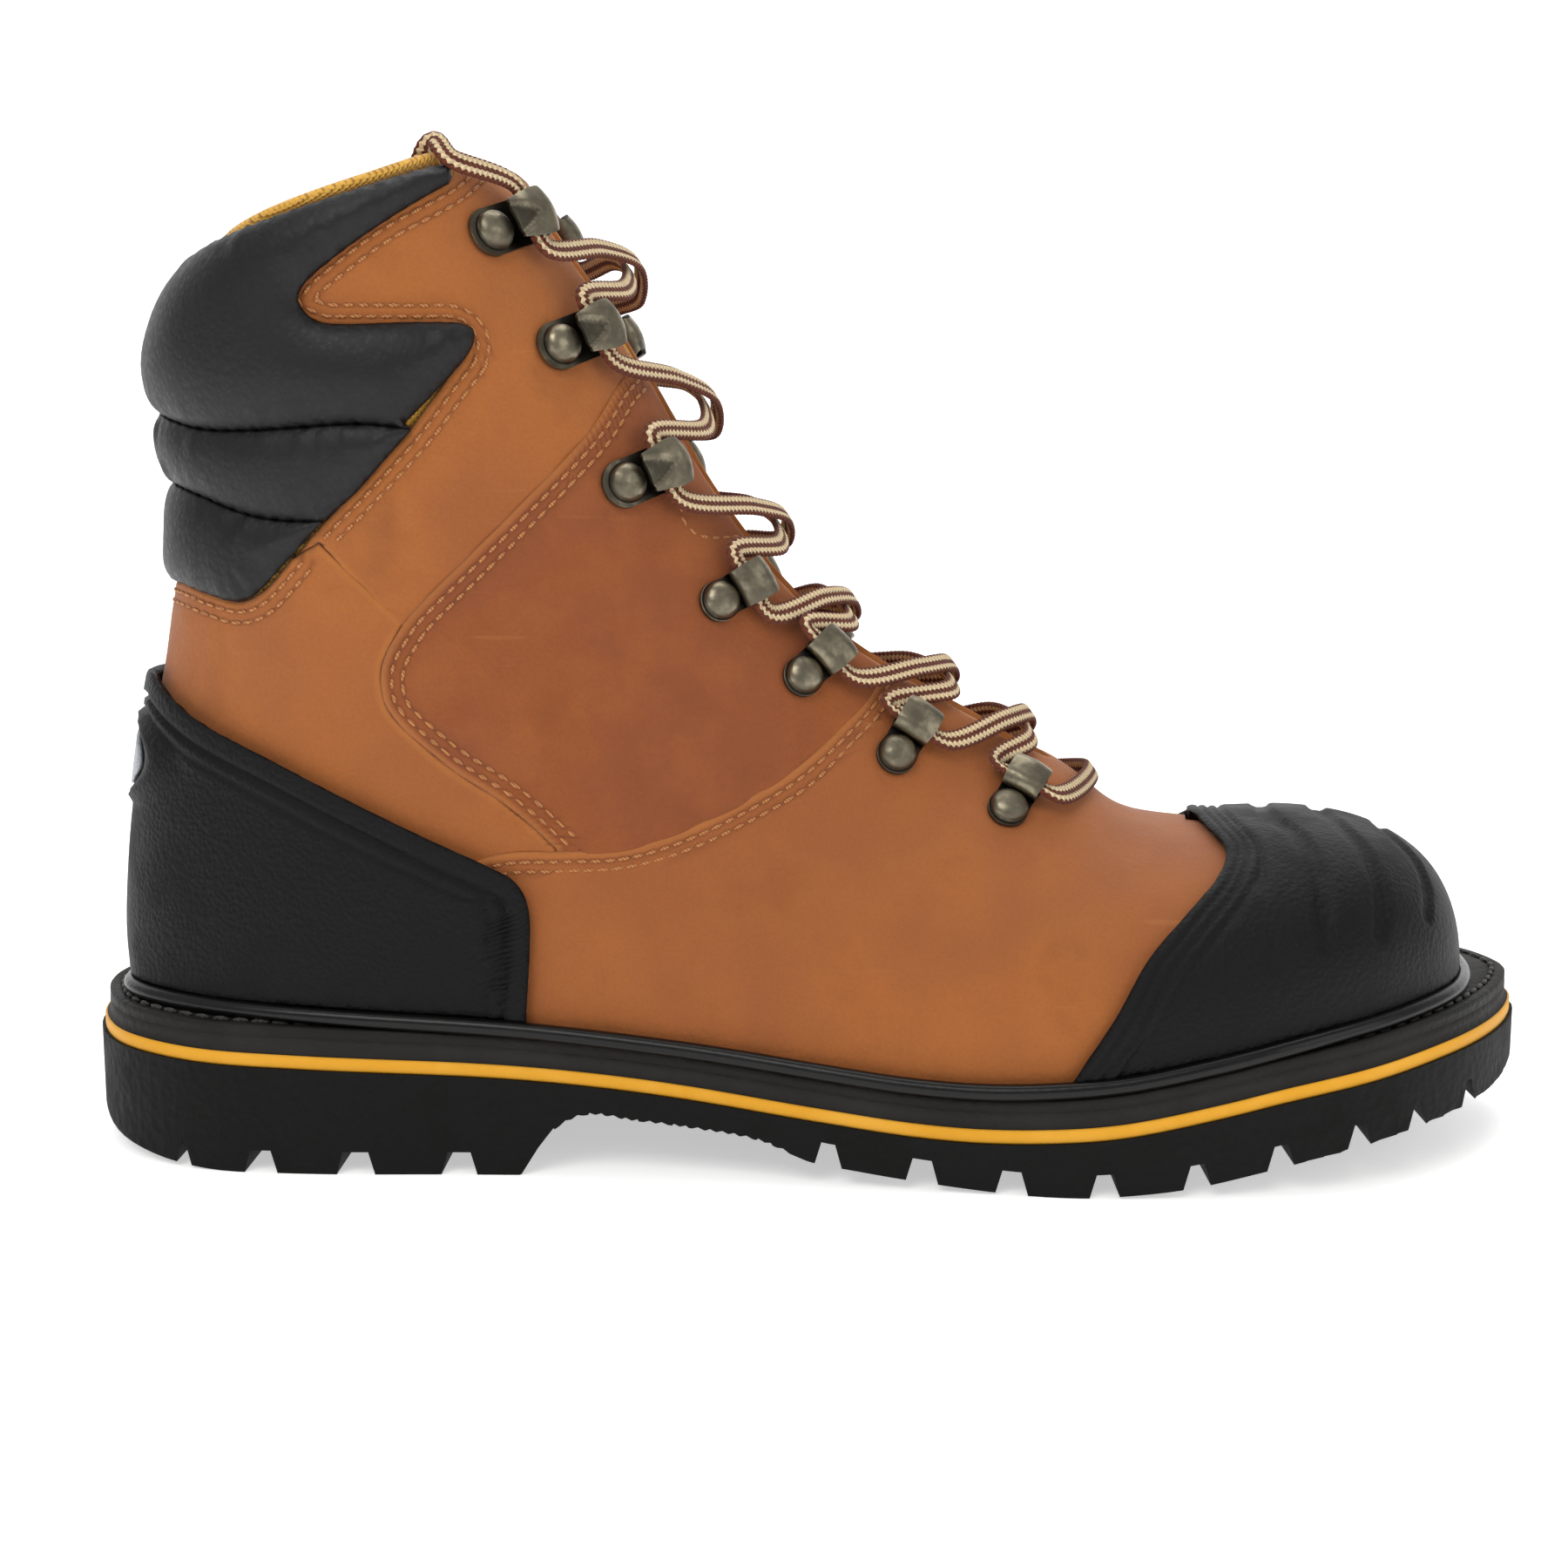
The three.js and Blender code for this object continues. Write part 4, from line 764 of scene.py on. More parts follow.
# side view lines of the panels and the sole, in mm
def heightOver(points):
    at = np.array(points, float)
    grade = np.array([(at[min(i + 1, len(at) - 1), 1] - at[max(i - 1, 0), 1])
                      / (at[min(i + 1, len(at) - 1), 0] - at[max(i - 1, 0), 0]) for i in range(len(at))])

    def height(x):
        x = np.asarray(x, float)
        i = np.clip(np.searchsorted(at[:, 0], x, side="right") - 1, 0, len(at) - 2)
        width = at[i + 1, 0] - at[i, 0]
        u = np.clip((x - at[i, 0]) / width, 0, 1)
        return (at[i, 1] * (2 * u**3 - 3 * u**2 + 1) + at[i + 1, 1] * (3 * u**2 - 2 * u**3)
                + width * (grade[i] * (u**3 - 2 * u**2 + u) + grade[i + 1] * (u**3 - u**2)))
    return height


stripeTop = heightOver([
    [-160, 26.5], [-140, 26.3], [-120, 25.5], [-92, 24.5], [-60, 23], [-27, 19.8], [5, 15.8], [21, 14],
    [36, 13.3], [52, 14], [65, 15.5], [83, 19.2], [98, 22.5], [114, 25.2], [132, 27.5], [150, 28.3], [160, 28.3]])
treadCurve = heightOver([
    [-160, 9], [-151, 4.5], [-140, 2], [-128, 0.5], [-118, 0], [-60, 0], [-57, 4.5], [-53, 9.5], [-46, 13],
    [-36, 12], [-25, 11], [-10, 9], [0, 5.2], [10, 3.6], [20, 2.3], [38, 0.5], [50, 0], [60, 0.3], [76, 2],
    [93, 5.5], [111, 9.3], [130, 12], [148, 14], [160, 16.5]])
stripeThickness, midsoleThickness, weltThickness, beadRadius = 2.8, 3.4, 2.4, 1.75


def treadZ(x):
    return np.maximum(0, treadCurve(x))


def weltTop(x):
    return stripeTop(x) + midsoleThickness + weltThickness


topline = [[-129, 185.5], [-107, 193], [-87, 199.5], [-68, 206.5], [-56, 205]]
collarFront = [[-104.5, 127], [-98, 134], [-91, 140.5], [-80, 152], [-74.5, 159], [-68.5, 167]]
strapCorner = [[-68.5, 167], [-68, 170], [-70.5, 172.3], [-77, 172.3]]
strapTip = [[-95, 172.3], [-101.5, 175], [-102, 178.5], [-99, 182.5], [-94, 186.5], [-85, 193], [-73, 200.5],
            [-68, 206.5]]
midUpper = [[-36.5, 166], [-40, 161.5], [-46, 151], [-61, 135], [-78, 118.5], [-82, 114]]
midRear = [[-82, 114], [-86, 107.5], [-87, 101.5], [-85, 95], [-75, 85.5], [-62, 76.5], [-52, 67.4]]
vampFront = [[-76, 62], [-64, 66.5], [-52, 67], [-39, 67.3], [-27, 70.5], [-14, 76.5], [-3, 83], [8, 92.5],
             [16, 101]]
backSeam = [[-82, 114], [-89, 120.5], [-99, 130]]
padFoot = [[-104.5, 127.2], [-107, 124.6], [-112, 119.8], [-117, 118], [-124, 119.3], [-131, 121], [-141, 121.4]]
seamUpper = [[-137.5, 157.5], [-123, 153.5], [-109, 153], [-90, 154], [-79, 153]]
seamLower = [[-139, 144], [-125, 140], [-115, 136.5], [-107, 135], [-97, 134.7]]
toeEdge = [[83.5, 71], [86, 68.3], [87.5, 65.5], [84, 61.5], [77, 56], [68, 47.5], [61, 36], [53.5, 24], [50, 16]]
guardTop = [[-141, 101.8], [-139.5, 101.5], [-136.5, 99], [-127, 93.2], [-110, 85.7], [-92, 77], [-77, 69.8],
            [-65, 64.2], [-60, 61], [-57.5, 55.5], [-57.3, 47], [-58, 35], [-58.5, 26]]
slotOver = [[-100, 14], [-61, 13], [-20, 11.5], [20, 9], [42, 7.5], [49, 5.6], [53, 2.3], [54.5, 0]]


def facingRun(t0, t1, count=40, over=slotOver):
    # the lace opening's lateral edge between two stations
    t = np.linspace(t0, t1, count)

    def tooWide(k):
        p = lastPoint(np.stack([t, -k], 1))
        return -p[:, 1] > np.interp(p[:, 0], *np.array(over).T)
    return np.stack([t, -halved(np.full(count, 0.0), np.full(count, 1.5), tooWide)], 1)


def footRun(t0, t1, count=60, above=0.3):
    # where the lateral side comes down to the welt
    t = np.linspace(t0, t1, count)

    def tooLow(k):
        p = lastPoint(np.stack([t, -k], 1))
        return p[:, 2] <= weltTop(p[:, 0]) + above
    return np.stack([t, -halved(np.full(count, 1.2), np.full(count, pi), tooLow)], 1)


def near(run, q):
    return int(np.argmin(((lastPoint(run) - lastPoint(np.array([q]))) ** 2).sum(1)))


# stitches, set along a line by geometry nodes
def startNodes(name, **sockets):
    tree = bpy.data.node_groups.new(name, "GeometryNodeTree")
    for way in ("INPUT", "OUTPUT"):
        tree.interface.new_socket(name="Geometry", in_out=way, socket_type="NodeSocketGeometry")
    for key, kind in sockets.items():
        tree.interface.new_socket(name=key, in_out="INPUT", socket_type="NodeSocket" + kind)
    add, link = tree.nodes.new, tree.links.new
    return tree, add, link, add("NodeGroupInput"), add("NodeGroupOutput")


def runNodes(piece, tree, **values):
    # the modifier's inputs are set by their identifiers, then it is made a plain mesh
    modifier = piece.modifiers.new(tree.name, "NODES")
    modifier.node_group = tree
    for socket in tree.interface.items_tree:
        if socket.in_out == "INPUT" and socket.name in values:
            modifier[socket.identifier] = values[socket.name]
    return bake(piece)


def stitchTree(name, material):
    tree, add, link, given, result = startNodes(name, pitch="Float", length="Float", thickness="Float", seed="Int")
    curve = add("GeometryNodeMeshToCurve")
    link(given.outputs["Geometry"], curve.inputs[0])
    spaced = add("GeometryNodeResampleCurve")
    spaced.mode = "LENGTH"
    link(curve.outputs[0], spaced.inputs["Curve"])
    link(given.outputs["pitch"], spaced.inputs["Length"])
    bead = add("GeometryNodeMeshUVSphere")
    bead.inputs["Segments"].default_value = 8
    bead.inputs["Rings"].default_value = 6
    bead.inputs["Radius"].default_value = 0.5
    tangent, up = add("GeometryNodeInputTangent"), add("GeometryNodeInputNamedAttribute")
    up.data_type = "FLOAT_VECTOR"
    up.inputs["Name"].default_value = "up"
    along = add("FunctionNodeAlignRotationToVector")
    along.axis = "X"
    link(tangent.outputs[0], along.inputs["Vector"])
    flat = add("FunctionNodeAlignRotationToVector")
    flat.axis, flat.pivot_axis = "Z", "X"
    link(along.outputs[0], flat.inputs["Rotation"])
    link(up.outputs["Attribute"], flat.inputs["Vector"])
    dice = add("FunctionNodeRandomValue")
    dice.data_type = "FLOAT"
    dice.inputs[2].default_value, dice.inputs[3].default_value = 0.86, 1.1
    link(given.outputs["seed"], dice.inputs["Seed"])
    long = add("ShaderNodeMath")
    long.operation = "MULTIPLY"
    link(given.outputs["length"], long.inputs[0])
    link(dice.outputs[1], long.inputs[1])
    size = add("ShaderNodeCombineXYZ")
    link(long.outputs[0], size.inputs[0])
    link(given.outputs["thickness"], size.inputs[1])
    link(given.outputs["thickness"], size.inputs[2])
    placed = add("GeometryNodeInstanceOnPoints")
    link(spaced.outputs[0], placed.inputs["Points"])
    link(bead.outputs["Mesh"], placed.inputs["Instance"])
    link(flat.outputs[0], placed.inputs["Rotation"])
    link(size.outputs[0], placed.inputs["Scale"])
    real, paint = add("GeometryNodeRealizeInstances"), add("GeometryNodeSetMaterial")
    smooth = add("GeometryNodeSetShadeSmooth")
    link(placed.outputs[0], real.inputs[0])
    link(real.outputs[0], smooth.inputs[0])
    link(smooth.outputs[0], paint.inputs["Geometry"])
    paint.inputs["Material"].default_value = material
    link(paint.outputs[0], result.inputs[0])
    return tree


def sewn(name, runs, tree, pitch, length, thickness, lift=0.12, closed=False):
    # runs: lists of (points in mm, outward directions)
    points, ups, edges = [], [], []
    for place, up in runs:
        start = len(points)
        points += [tuple(p) for p in (place + up * lift) * mm]
        ups += [tuple(u) for u in up]
        edges += [(start + i, start + i + 1) for i in range(len(place) - 1)]
        if closed:
            edges.append((start + len(place) - 1, start))
    mesh = bpy.data.meshes.new(name)
    mesh.from_pydata(points, edges, [])
    away = mesh.attributes.new("up", "FLOAT_VECTOR", "POINT")
    away.data.foreach_set("vector", np.array(ups, np.float32).ravel())
    piece = bpy.data.objects.new(name, mesh)
    bpy.context.collection.objects.link(piece)
    return runNodes(piece, tree, pitch=pitch * mm, length=length * mm, thickness=thickness * mm, seed=5)


# leather panels
panelLook = {"thickness": 1.7, "spacing": 2.3, "dip": 0.3, "roll": 0.75, "unevenness": 0.22,
             "rows": (2.3, 4.5), "vampRows": (2.2, 4.4), "pitch": 2.9, "stitch": 2.45, "thread": 0.78}
stitchRuns = []


def panelHeight(place, fromEdge, fromSeam, base, rows, seed):
    # rolls over at the edge and dips under each row of stitches
    look = panelLook
    rolled = look["roll"] * (1 - np.clip(fromEdge / 1.3, 0, 1)) ** 2
    height = base - rolled + look["unevenness"] * ripple(place, 34, seed) + 0.08 * ripple(place, 9, seed + 1)
    return height - sum(look["dip"] * pulse(fromSeam, row, 0.55) for row in rows)


def leatherPanel(name, runs, base, stitched, rows, seed, material, nodes, thickness=panelLook["thickness"]):
    # runs close the outline; stitched picks those that carry rows of stitches
    loop = closedLoop(*runs)
    q, faces, edgeLoop = panelSheet(loop, panelLook["spacing"])
    flat = lastPoint(q)
    seams = np.vstack([lastPoint(evenly(runs[i], 0.8, closed=False)) for i in stitched])
    fromSeam, _ = nearest(flat, seams)
    fromEdge, _ = nearest(flat, lastPoint(evenly(loop, 0.8)))
    points = skin(q, panelHeight(flat, fromEdge, fromSeam, base, rows, seed))
    faces = facedOut(q, faces, points)
    # painted shade in the dips under the stitch rows
    recessShade = sum(pulse(fromSeam, row, 0.5) for row in rows)
    piece = putMesh(name, points, faces, {"edge": fromEdge, "seam": np.clip(recessShade, 0, 1)})
    thicken(piece, thickness)
    finishPiece(piece, "boot", material, "nubuck", *nodes)
    for i in stitched:
        run = evenly(runs[i], 1.5, closed=False)
        side = 1 if isInside(insetRun(run, 1.5, closed=False), edgeLoop).mean() > 0.5 else -1
        for row in rows:
            moved = insetRun(run, side * row, closed=False)
            far, _ = nearest(lastPoint(moved), lastPoint(edgeLoop))
            keep = isInside(moved, edgeLoop) & (far > row * 0.86)
            if keep.sum() > 3:
                first, last = np.nonzero(keep)[0][[0, -1]]
                moved = moved[first:last + 1][keep[first:last + 1]]
                waves = panelLook["unevenness"] * ripple(lastPoint(moved), 34, seed)
                place = skin(moved, base + waves - 0.22)
                stitchRuns.append((place, outward(moved)))


def cut(run, start=None, stop=None):
    # the part of a run between the places closest to two points of the side view
    a = 0 if start is None else int(np.argmin(((lastPoint(run)[:, [0, 2]] - start) ** 2).sum(1)))
    b = len(run) - 1 if stop is None else int(np.argmin(((lastPoint(run)[:, [0, 2]] - stop) ** 2).sum(1)))
    return run[a:b + 1] if a <= b else run[b:a + 1][::-1]


collarRun = drawn(collarFront)
strapRun = np.vstack([drawn(strapCorner), straight([[-77, 172.3], [-95, 172.3]])[1:], drawn(strapTip)[1:]])
midUpperRun, midRearRun = drawn(midUpper), drawn(midRear)
vampFrontRun, backSeamRun = drawn(vampFront), drawn(backSeam)
facing = facingRun(0.85, 10.4, 160)


def shaftRuns():
    low = near(facing, midUpperRun[0]) + 6
    top = int(np.argmin(np.abs(lastPoint(facing)[:, 2] - 204.5)))
    tuck = drawn([[-34, 160], [-41, 152], [-56, 131], [-73, 114], [-78, 110]])
    return [facing[top:low], tuck, straight([[-78, 110], [-84, 114], [-99, 130], [-104.5, 127]]), collarRun, strapRun,
            straight([[-68, 206.5], [-62, 206.2], [-57, 205]])]


def midRuns():
    a, b = near(facing, midUpperRun[0]), near(facing, vampFrontRun[-1]) + 8
    under = drawn([[-50, 62], [-38, 62], [-26, 65], [-12, 71], [-1, 77.5], [11, 87], [20, 94]])
    return [facing[a:b], under[::-1], midRearRun[::-1], midUpperRun[::-1]]


def vampRuns():
    a = near(facing, vampFrontRun[-1])
    throat = np.vstack([facing[a:], [[10.55, 0.0]]])
    front = straight([[88, 71], [91, 66], [88, 61.5], [81, 56], [72, 47.5], [65, 36], [58, 24], [54, 16]])
    low = footRun(8.8, 13.2, 50, above=0.4)
    foot = cut(low, start=[-72, 29], stop=[57, 20])
    rear = straight([[-76, 62], [-72, 45], [-72, 29]])
    lateral = [rear[::-1], vampFrontRun, throat]
    medial = [(run * [1, -1])[::-1] for run in lateral[::-1]]
    frontWhole = np.vstack([front[::-1], front * [1, -1]])
    return lateral + medial + [foot * [1, -1], frontWhole[::-1], foot[::-1]]


def backRuns():
    low = straight([[-142, 90], [-128, 82], [-104, 72], [-84, 64], [-72, 58], [-62, 58], [-52, 64]])
    half = [low, straight([[-52, 64], [-52, 67.4]]), midRearRun[::-1], backSeamRun, drawn(padFoot)]
    back = [roundBack(run) for run in half[::-1]]
    return half + back


def makePanels():
    for side, turn in (("lateral", 1), ("medial", -1)):
        shaft = [run * [1, turn] for run in shaftRuns()]
        leatherPanel("shaftPanel_" + side, shaft, 0.4, [3, 4, 5], panelLook["rows"], 11, nubuck,
                     ["shaft_panel_" + side])
        mid = [run * [1, turn] for run in midRuns()]
        leatherPanel("midPanel_" + side, mid, 1.2, [2, 3], panelLook["rows"], 23, nubuckMid,
                     ["mid_panel_" + side], 2.4)
    runs = vampRuns()
    leatherPanel("vamp", runs, 1.5, [1, 4], panelLook["vampRows"], 31, nubuck, ["vamp", "vamp_lining"], 2.7)
    runs = backRuns()
    leatherPanel("backPanel", runs, 0.9, [4, 5], panelLook["vampRows"], 41, nubuck,
                 ["back_panel", "heel_stiffener"])


makePanels()
hookArc = [[-27.6, 139.4], [-27, 134.4], [-24.4, 131.2], [-20.5, 130.1], [-16.5, 130.1]]
for turn in (1, -1):
    arc = evenly(drawn(hookArc) * [1, turn], 1.0, closed=False)
    stitchRuns.append((skin(arc, 1.0), outward(arc)))
threadTree = stitchTree("seamStitches", seamThread)
seams = sewn("seamStitches", stitchRuns, threadTree,
             panelLook["pitch"], panelLook["stitch"], panelLook["thread"])
finishPiece(seams, "boot", seamThread, "thread")
print("leather panels and seams ready")

# padded collar
collarLook = {"base": 1.2, "upper": 4.6, "middle": 3.3, "lower": 3.3, "pucker": 0.55, "foldSizes": (4.3, 6.1, 8.9),
              "thickness": 1.4, "fill": 0.75, "spacing": 1.9, "edgeStep": 1.3, "rings": (0.5, 1.1, 1.9, 2.9, 4.1, 5.4)}


def collarPad(name, runs, swell, width, seed, node):
    look = collarLook
    loop = closedLoop(*runs)
    q, faces, _ = panelSheet(loop, look["spacing"], look["edgeStep"], look["rings"])
    flat, edge = lastPoint(q), lastPoint(evenly(loop, 0.8))
    far, index = nearest(flat, edge)
    run = runLength(edge)[index]
    u = np.clip(far / width, 0, 1)
    rise = swell * np.sqrt(np.maximum(0, 1 - (1 - u) ** 2))
    dice = np.random.default_rng(seed)
    folds = sum(np.sin(run * 2 * pi / size + dice.uniform(0, 6)) for size in look["foldSizes"]) / 3
    patchy = 0.5 + 0.5 * np.sin(run * 2 * pi / 41 + seed)
    pucker = look["pucker"] * folds * patchy * pulse(far, 2.6, 3.2) * np.clip(far / 1.2, 0, 1)
    slow = 0.35 * ripple(flat, 30, seed) * u
    points = skin(q, look["base"] + rise + pucker + slow)
    faces = facedOut(q, faces, points)
    piece = putMesh(name, points, faces, {"edge": far, "seam": np.exp(-(far / 0.7) ** 2)})
    thicken(piece, look["thickness"])
    bake(piece)
    finishPiece(piece, "boot", collarLeather, "collar_leather", node)


def makeCollar():
    upper, lower = drawn(seamUpper)[::-1], drawn(seamLower)[::-1]
    backTop = drawn([[-129.5, 184.5], [-120, 188.2], [-107, 192.4], [-87, 198.9], [-72, 204.2]])
    strap = drawn([[-80, 154], [-74, 160], [-67.5, 168], [-68, 172.8], [-78, 173.4], [-94, 173.2], [-99, 176],
                   [-99.5, 179], [-97, 182], [-92, 186], [-83, 192.4], [-72, 200]])
    sides = {
        "collar_pad_upper": ([upper[::-1], strap, backTop[::-1]], collarLook["upper"], 13.0, 3),
        "collar_pad_middle": ([lower[::-1], straight([[-97, 134.7], [-90.5, 140], [-79, 152.4]]), upper],
                              collarLook["middle"], 7.5, 5),
        "collar_pad_lower": ([drawn(padFoot)[::-1], straight([[-104.5, 127], [-97.5, 134.3]]), lower],
                             collarLook["lower"], 8.5, 8),
    }
    for node, (half, swell, width, seed) in sides.items():
        back = [roundBack(run) for run in half[::-1]]
        collarPad(node.replace("collar_pad", "collarPad").replace("_", "."), half + back, swell, width, seed, node)


makeCollar()
print("collar ready")

# moulded guards
guardLook = {"thickness": 2.0, "edgeStep": 1.1}
toeLook = {"base": 3.4, "spacing": 1.0, "lines": (2.4, 4.7, 7.0), "padRise": 1.0, "grooveWidth": 1.7}
heelLook = {"base": 3.4, "spacing": 1.3}
toeGrooves = [
    [[90, 3, 69], [90.5, -6, 69], [93, -27, 64], [92.5, -40, 55], [92, -48, 46]],
    [[101, 2, 69], [101.5, -8, 69], [104, -22, 67], [105, -36, 60], [104, -45, 50]],
    [[114, 3, 69], [114.5, -10, 68], [117, -23, 65], [118, -34, 58], [116.5, -40, 51]],
    [[126, 4, 66], [127, -6, 65.5], [129, -14, 62], [129.5, -22, 57], [128, -29, 52]],
]


def guardPiece(name, loop, dressed, shape, spacing, rings, node):
    q, faces, _ = panelSheet(loop, spacing, guardLook["edgeStep"], rings)
    flat = lastPoint(q)
    far, _ = nearest(flat, lastPoint(evenly(dressed, 0.5, closed=False)))
    border, _ = nearest(flat, lastPoint(evenly(loop, 0.6)))
    height, recessShade = shape(q, flat, far, border)
    points = skin(q, height)
    faces = facedOut(q, faces, points)
    # the seam attribute holds the painted shade in the grooves
    piece = putMesh(name, points, faces, {"edge": border, "seam": recessShade})
    thicken(piece, guardLook["thickness"])
    finishPiece(piece, "boot", guardRubber, "guard_rubber", node)


def toeShape(q, flat, far, border):
    raisedSpots = skin(q, toeLook["base"])
    height = np.full(len(q), toeLook["base"])
    height += 0.75 * (1 - step(far, 7.2)) - 0.3 * pulse(far, 0, 0.7)
    for line, deep in zip(toeLook["lines"], (0.5, 0.55, 0.7)):
        height -= deep * pulse(far, line, 0.42)
    # painted shade in the grooves and along their rims
    recessShade = sum(pulse(far, line, 0.5) for line in toeLook["lines"]) * 0.7
    face = step(far, 7.6)
    raised = face * np.clip((flat[:, 2] - 40) / 18, 0, 1)
    height += toeLook["padRise"] * raised
    for groove in toeGrooves:
        mirror = [[x, -y, z] for x, y, z in groove[1:]]
        run = smoothRun([list(p) for p in reversed(mirror)] + groove, 12)
        fromGroove, _ = nearest(raisedSpots, run)
        fade = np.clip((flat[:, 2] - 41) / 15, 0, 1) ** 0.7
        wide = toeLook["grooveWidth"] * (0.65 + 0.35 * fade)
        channel = 1 - step(fromGroove, wide, 0.5)
        rims = pulse(fromGroove, wide, 0.45)
        height -= face * fade * (0.95 * channel + 0.35 * rims)
        recessShade = recessShade + face * fade * (0.5 * rims + 0.3 * channel)
    onTop = np.clip((flat[:, 0] - 92) / 5, 0, 1) * np.clip((122 - flat[:, 0]) / 6, 0, 1)
    crease = pulse(flat[:, 2], 65.2, 0.5) * face * onTop
    height -= 0.25 * crease
    height -= 0.5 * (1 - np.clip(border / 0.9, 0, 1)) ** 2
    return height, np.clip(recessShade, 0, 1)


def makeToeGuard():
    edge = drawn(toeEdge, toeLook["base"])
    edge = np.vstack([[[edge[0, 0] - 0.02, 0.0]], edge])
    foot = footRun(edge[-1, 0] - 0.6, 18.72, 120, above=3.2)
    join = int(np.argmin(((lastPoint(edge)[:, None] - lastPoint(foot)[None]) ** 2).sum(2).min(1)))
    edge = edge[:join + 1]
    foot = foot[near(foot, edge[-1]):]
    foot = foot[foot[:, 1] > -pi + 0.01]
    tip = np.array([[19.0, -pi * u] for u in (0.98, 0.7, 0.4, 0.1)])
    seam = np.array([[foot[-1, 0] + 0.03, -pi + 0.004], [19.0, -pi + 0.004]])
    half = np.vstack([edge[1:], foot, seam, tip])
    loop = np.vstack([edge[:1], half, (half * [1, -1])[::-1]])
    dressed = np.vstack([(edge[1:] * [1, -1])[::-1], edge])
    guardPiece("toeGuard", loop, dressed, toeShape, toeLook["spacing"],
               (0.5, 1.1, 1.8, 2.4, 3.0, 3.8, 4.7, 5.4, 6.2, 7.0, 7.8), "toe_guard")


badgeLook = {"centre": 82.5, "frame": (18.6, 9.2), "hole": (16.0, 6.6)}


def heelShape(q, flat, far, border):
    height = np.full(len(q), heelLook["base"])
    height += 0.9 * (1 - step(far, 4.7)) - 0.45 * pulse(far, 5.3, 0.6)
    height += 0.45 * step(far, 6.0) * (1 - step(far, 8.0)) - 0.35 * pulse(far, 8.5, 0.5)
    height += 0.22 * pulse(far, 9.5, 0.6)
    height -= 0.5 * (1 - np.clip(border / 1.1, 0, 1)) ** 2
    # painted shade in the grooves and round the badge frame
    recessShade = 0.9 * pulse(far, 5.3, 0.6) + 0.8 * pulse(far, 8.5, 0.5)
    atBack = flat[:, 0] < -110
    wide, high = badgeLook["frame"]
    reach = np.hypot(flat[:, 1] / wide, (flat[:, 2] - badgeLook["centre"]) / high)
    apart = (reach - 1) * high
    frame = 1.2 * pulse(apart, 0, 1.25) - 0.4 * pulse(apart, -2.2, 0.6) - 0.35 * pulse(apart, 2.4, 0.6)
    height += np.where(atBack, frame, 0)
    recessShade = recessShade + np.where(atBack, 0.8 * pulse(apart, 2.4, 0.6) + 0.8 * pulse(apart, -2.2, 0.6), 0)
    return height, np.clip(recessShade, 0, 1)


def makeHeelGuard():
    edge = drawn(guardTop, heelLook["base"])
    foot = footRun(7.2, edge[-1, 0] + 0.8, 120, above=3.2)
    foot = foot[foot[:, 1] > -pi + 0.02]
    edge = edge[:int(np.argmin(((lastPoint(edge)[:, None] - lastPoint(foot)[None]) ** 2).sum(2).min(1))) + 1]
    foot = foot[:near(foot, edge[-1]) + 1]
    start = np.array([[foot[0, 0] - 0.03, -pi]])
    top = np.array([[edge[0, 0], -pi]])
    half = np.vstack([top, edge, foot[::-1], start])
    loop = closedLoop(half, roundBack(half))
    dressed = np.vstack([roundBack(np.vstack([top, edge])), edge])
    guardPiece("heelGuard", loop, dressed, heelShape, heelLook["spacing"],
               (0.6, 1.3, 2.2, 3.2, 4.2, 5.0, 5.6, 6.3, 7.3, 8.2, 8.9, 9.6), "heel_guard")
    # the reflective patch in the oval
    angles = np.linspace(0, 2 * pi, 60, endpoint=False)
    wide, high = badgeLook["hole"]
    goal = np.stack([wide * np.cos(angles), badgeLook["centre"] + high * np.sin(angles)], 1)
    t, k = np.meshgrid(np.linspace(4, 8, 160), np.linspace(-2 * pi + 2.0, -2.0, 240), indexing="ij")
    grid = np.stack([t.ravel(), k.ravel()], 1)
    spots = skin(grid, heelLook["base"])[:, [1, 2]]
    ring = np.array([grid[np.argmin(((spots - g) ** 2).sum(1))] for g in goal])
    q, faces, _ = panelSheet(closedLoop(ring), 1.6, 1.2, (0.4, 0.9))
    flat = lastPoint(q)
    far, _ = nearest(flat, lastPoint(ring))
    points = skin(q, heelLook["base"] + 0.75 - 0.35 * (1 - np.clip(far / 0.9, 0, 1)) ** 2)
    badge = putMesh("heelBadge", points, facedOut(q, faces, points), {"edge": far})
    thicken(badge, 1.0)
    finishPiece(badge, "boot", reflectiveTape, "reflective", "heel_badge")


makeToeGuard()
makeHeelGuard()
print("guards ready")

# sole
soleLook = {"lugDepth": 4.8, "flare": 1.1, "ripple": 0.45, "ripplePitch": 1.25}
solePlan = [
    [-158.2, 0], [-155, -15], [-146, -29.5], [-130, -39.5], [-105, -43], [-70, -43], [-35, -44], [0, -49],
    [35, -53.5], [60, -56], [90, -54.5], [114, -49.5], [134, -36.5], [149, -18.5], [157, -2], [158.5, 6],
    [155.5, 19], [147, 31.5], [134, 41.5], [115, 49.5], [90, 54.5], [60, 56], [35, 52.5], [0, 45],
    [-35, 41], [-70, 41], [-105, 41], [-130, 37.5], [-146, 28.5], [-155, 15]]
soleGrooves = [[-131, 3], [-114, 6.5], [-94, 7.5], [-72.5, 7], [4, 5], [23, 6], [41, 6], [59.5, 5.5], [78, 5],
               [95, 5], [111.5, 4.5], [125, 4], [139, 3.5]]
soleChannels = [[-144, -61, -13], [-144, -61, 13], [8, 138, -17], [8, 138, 17]]


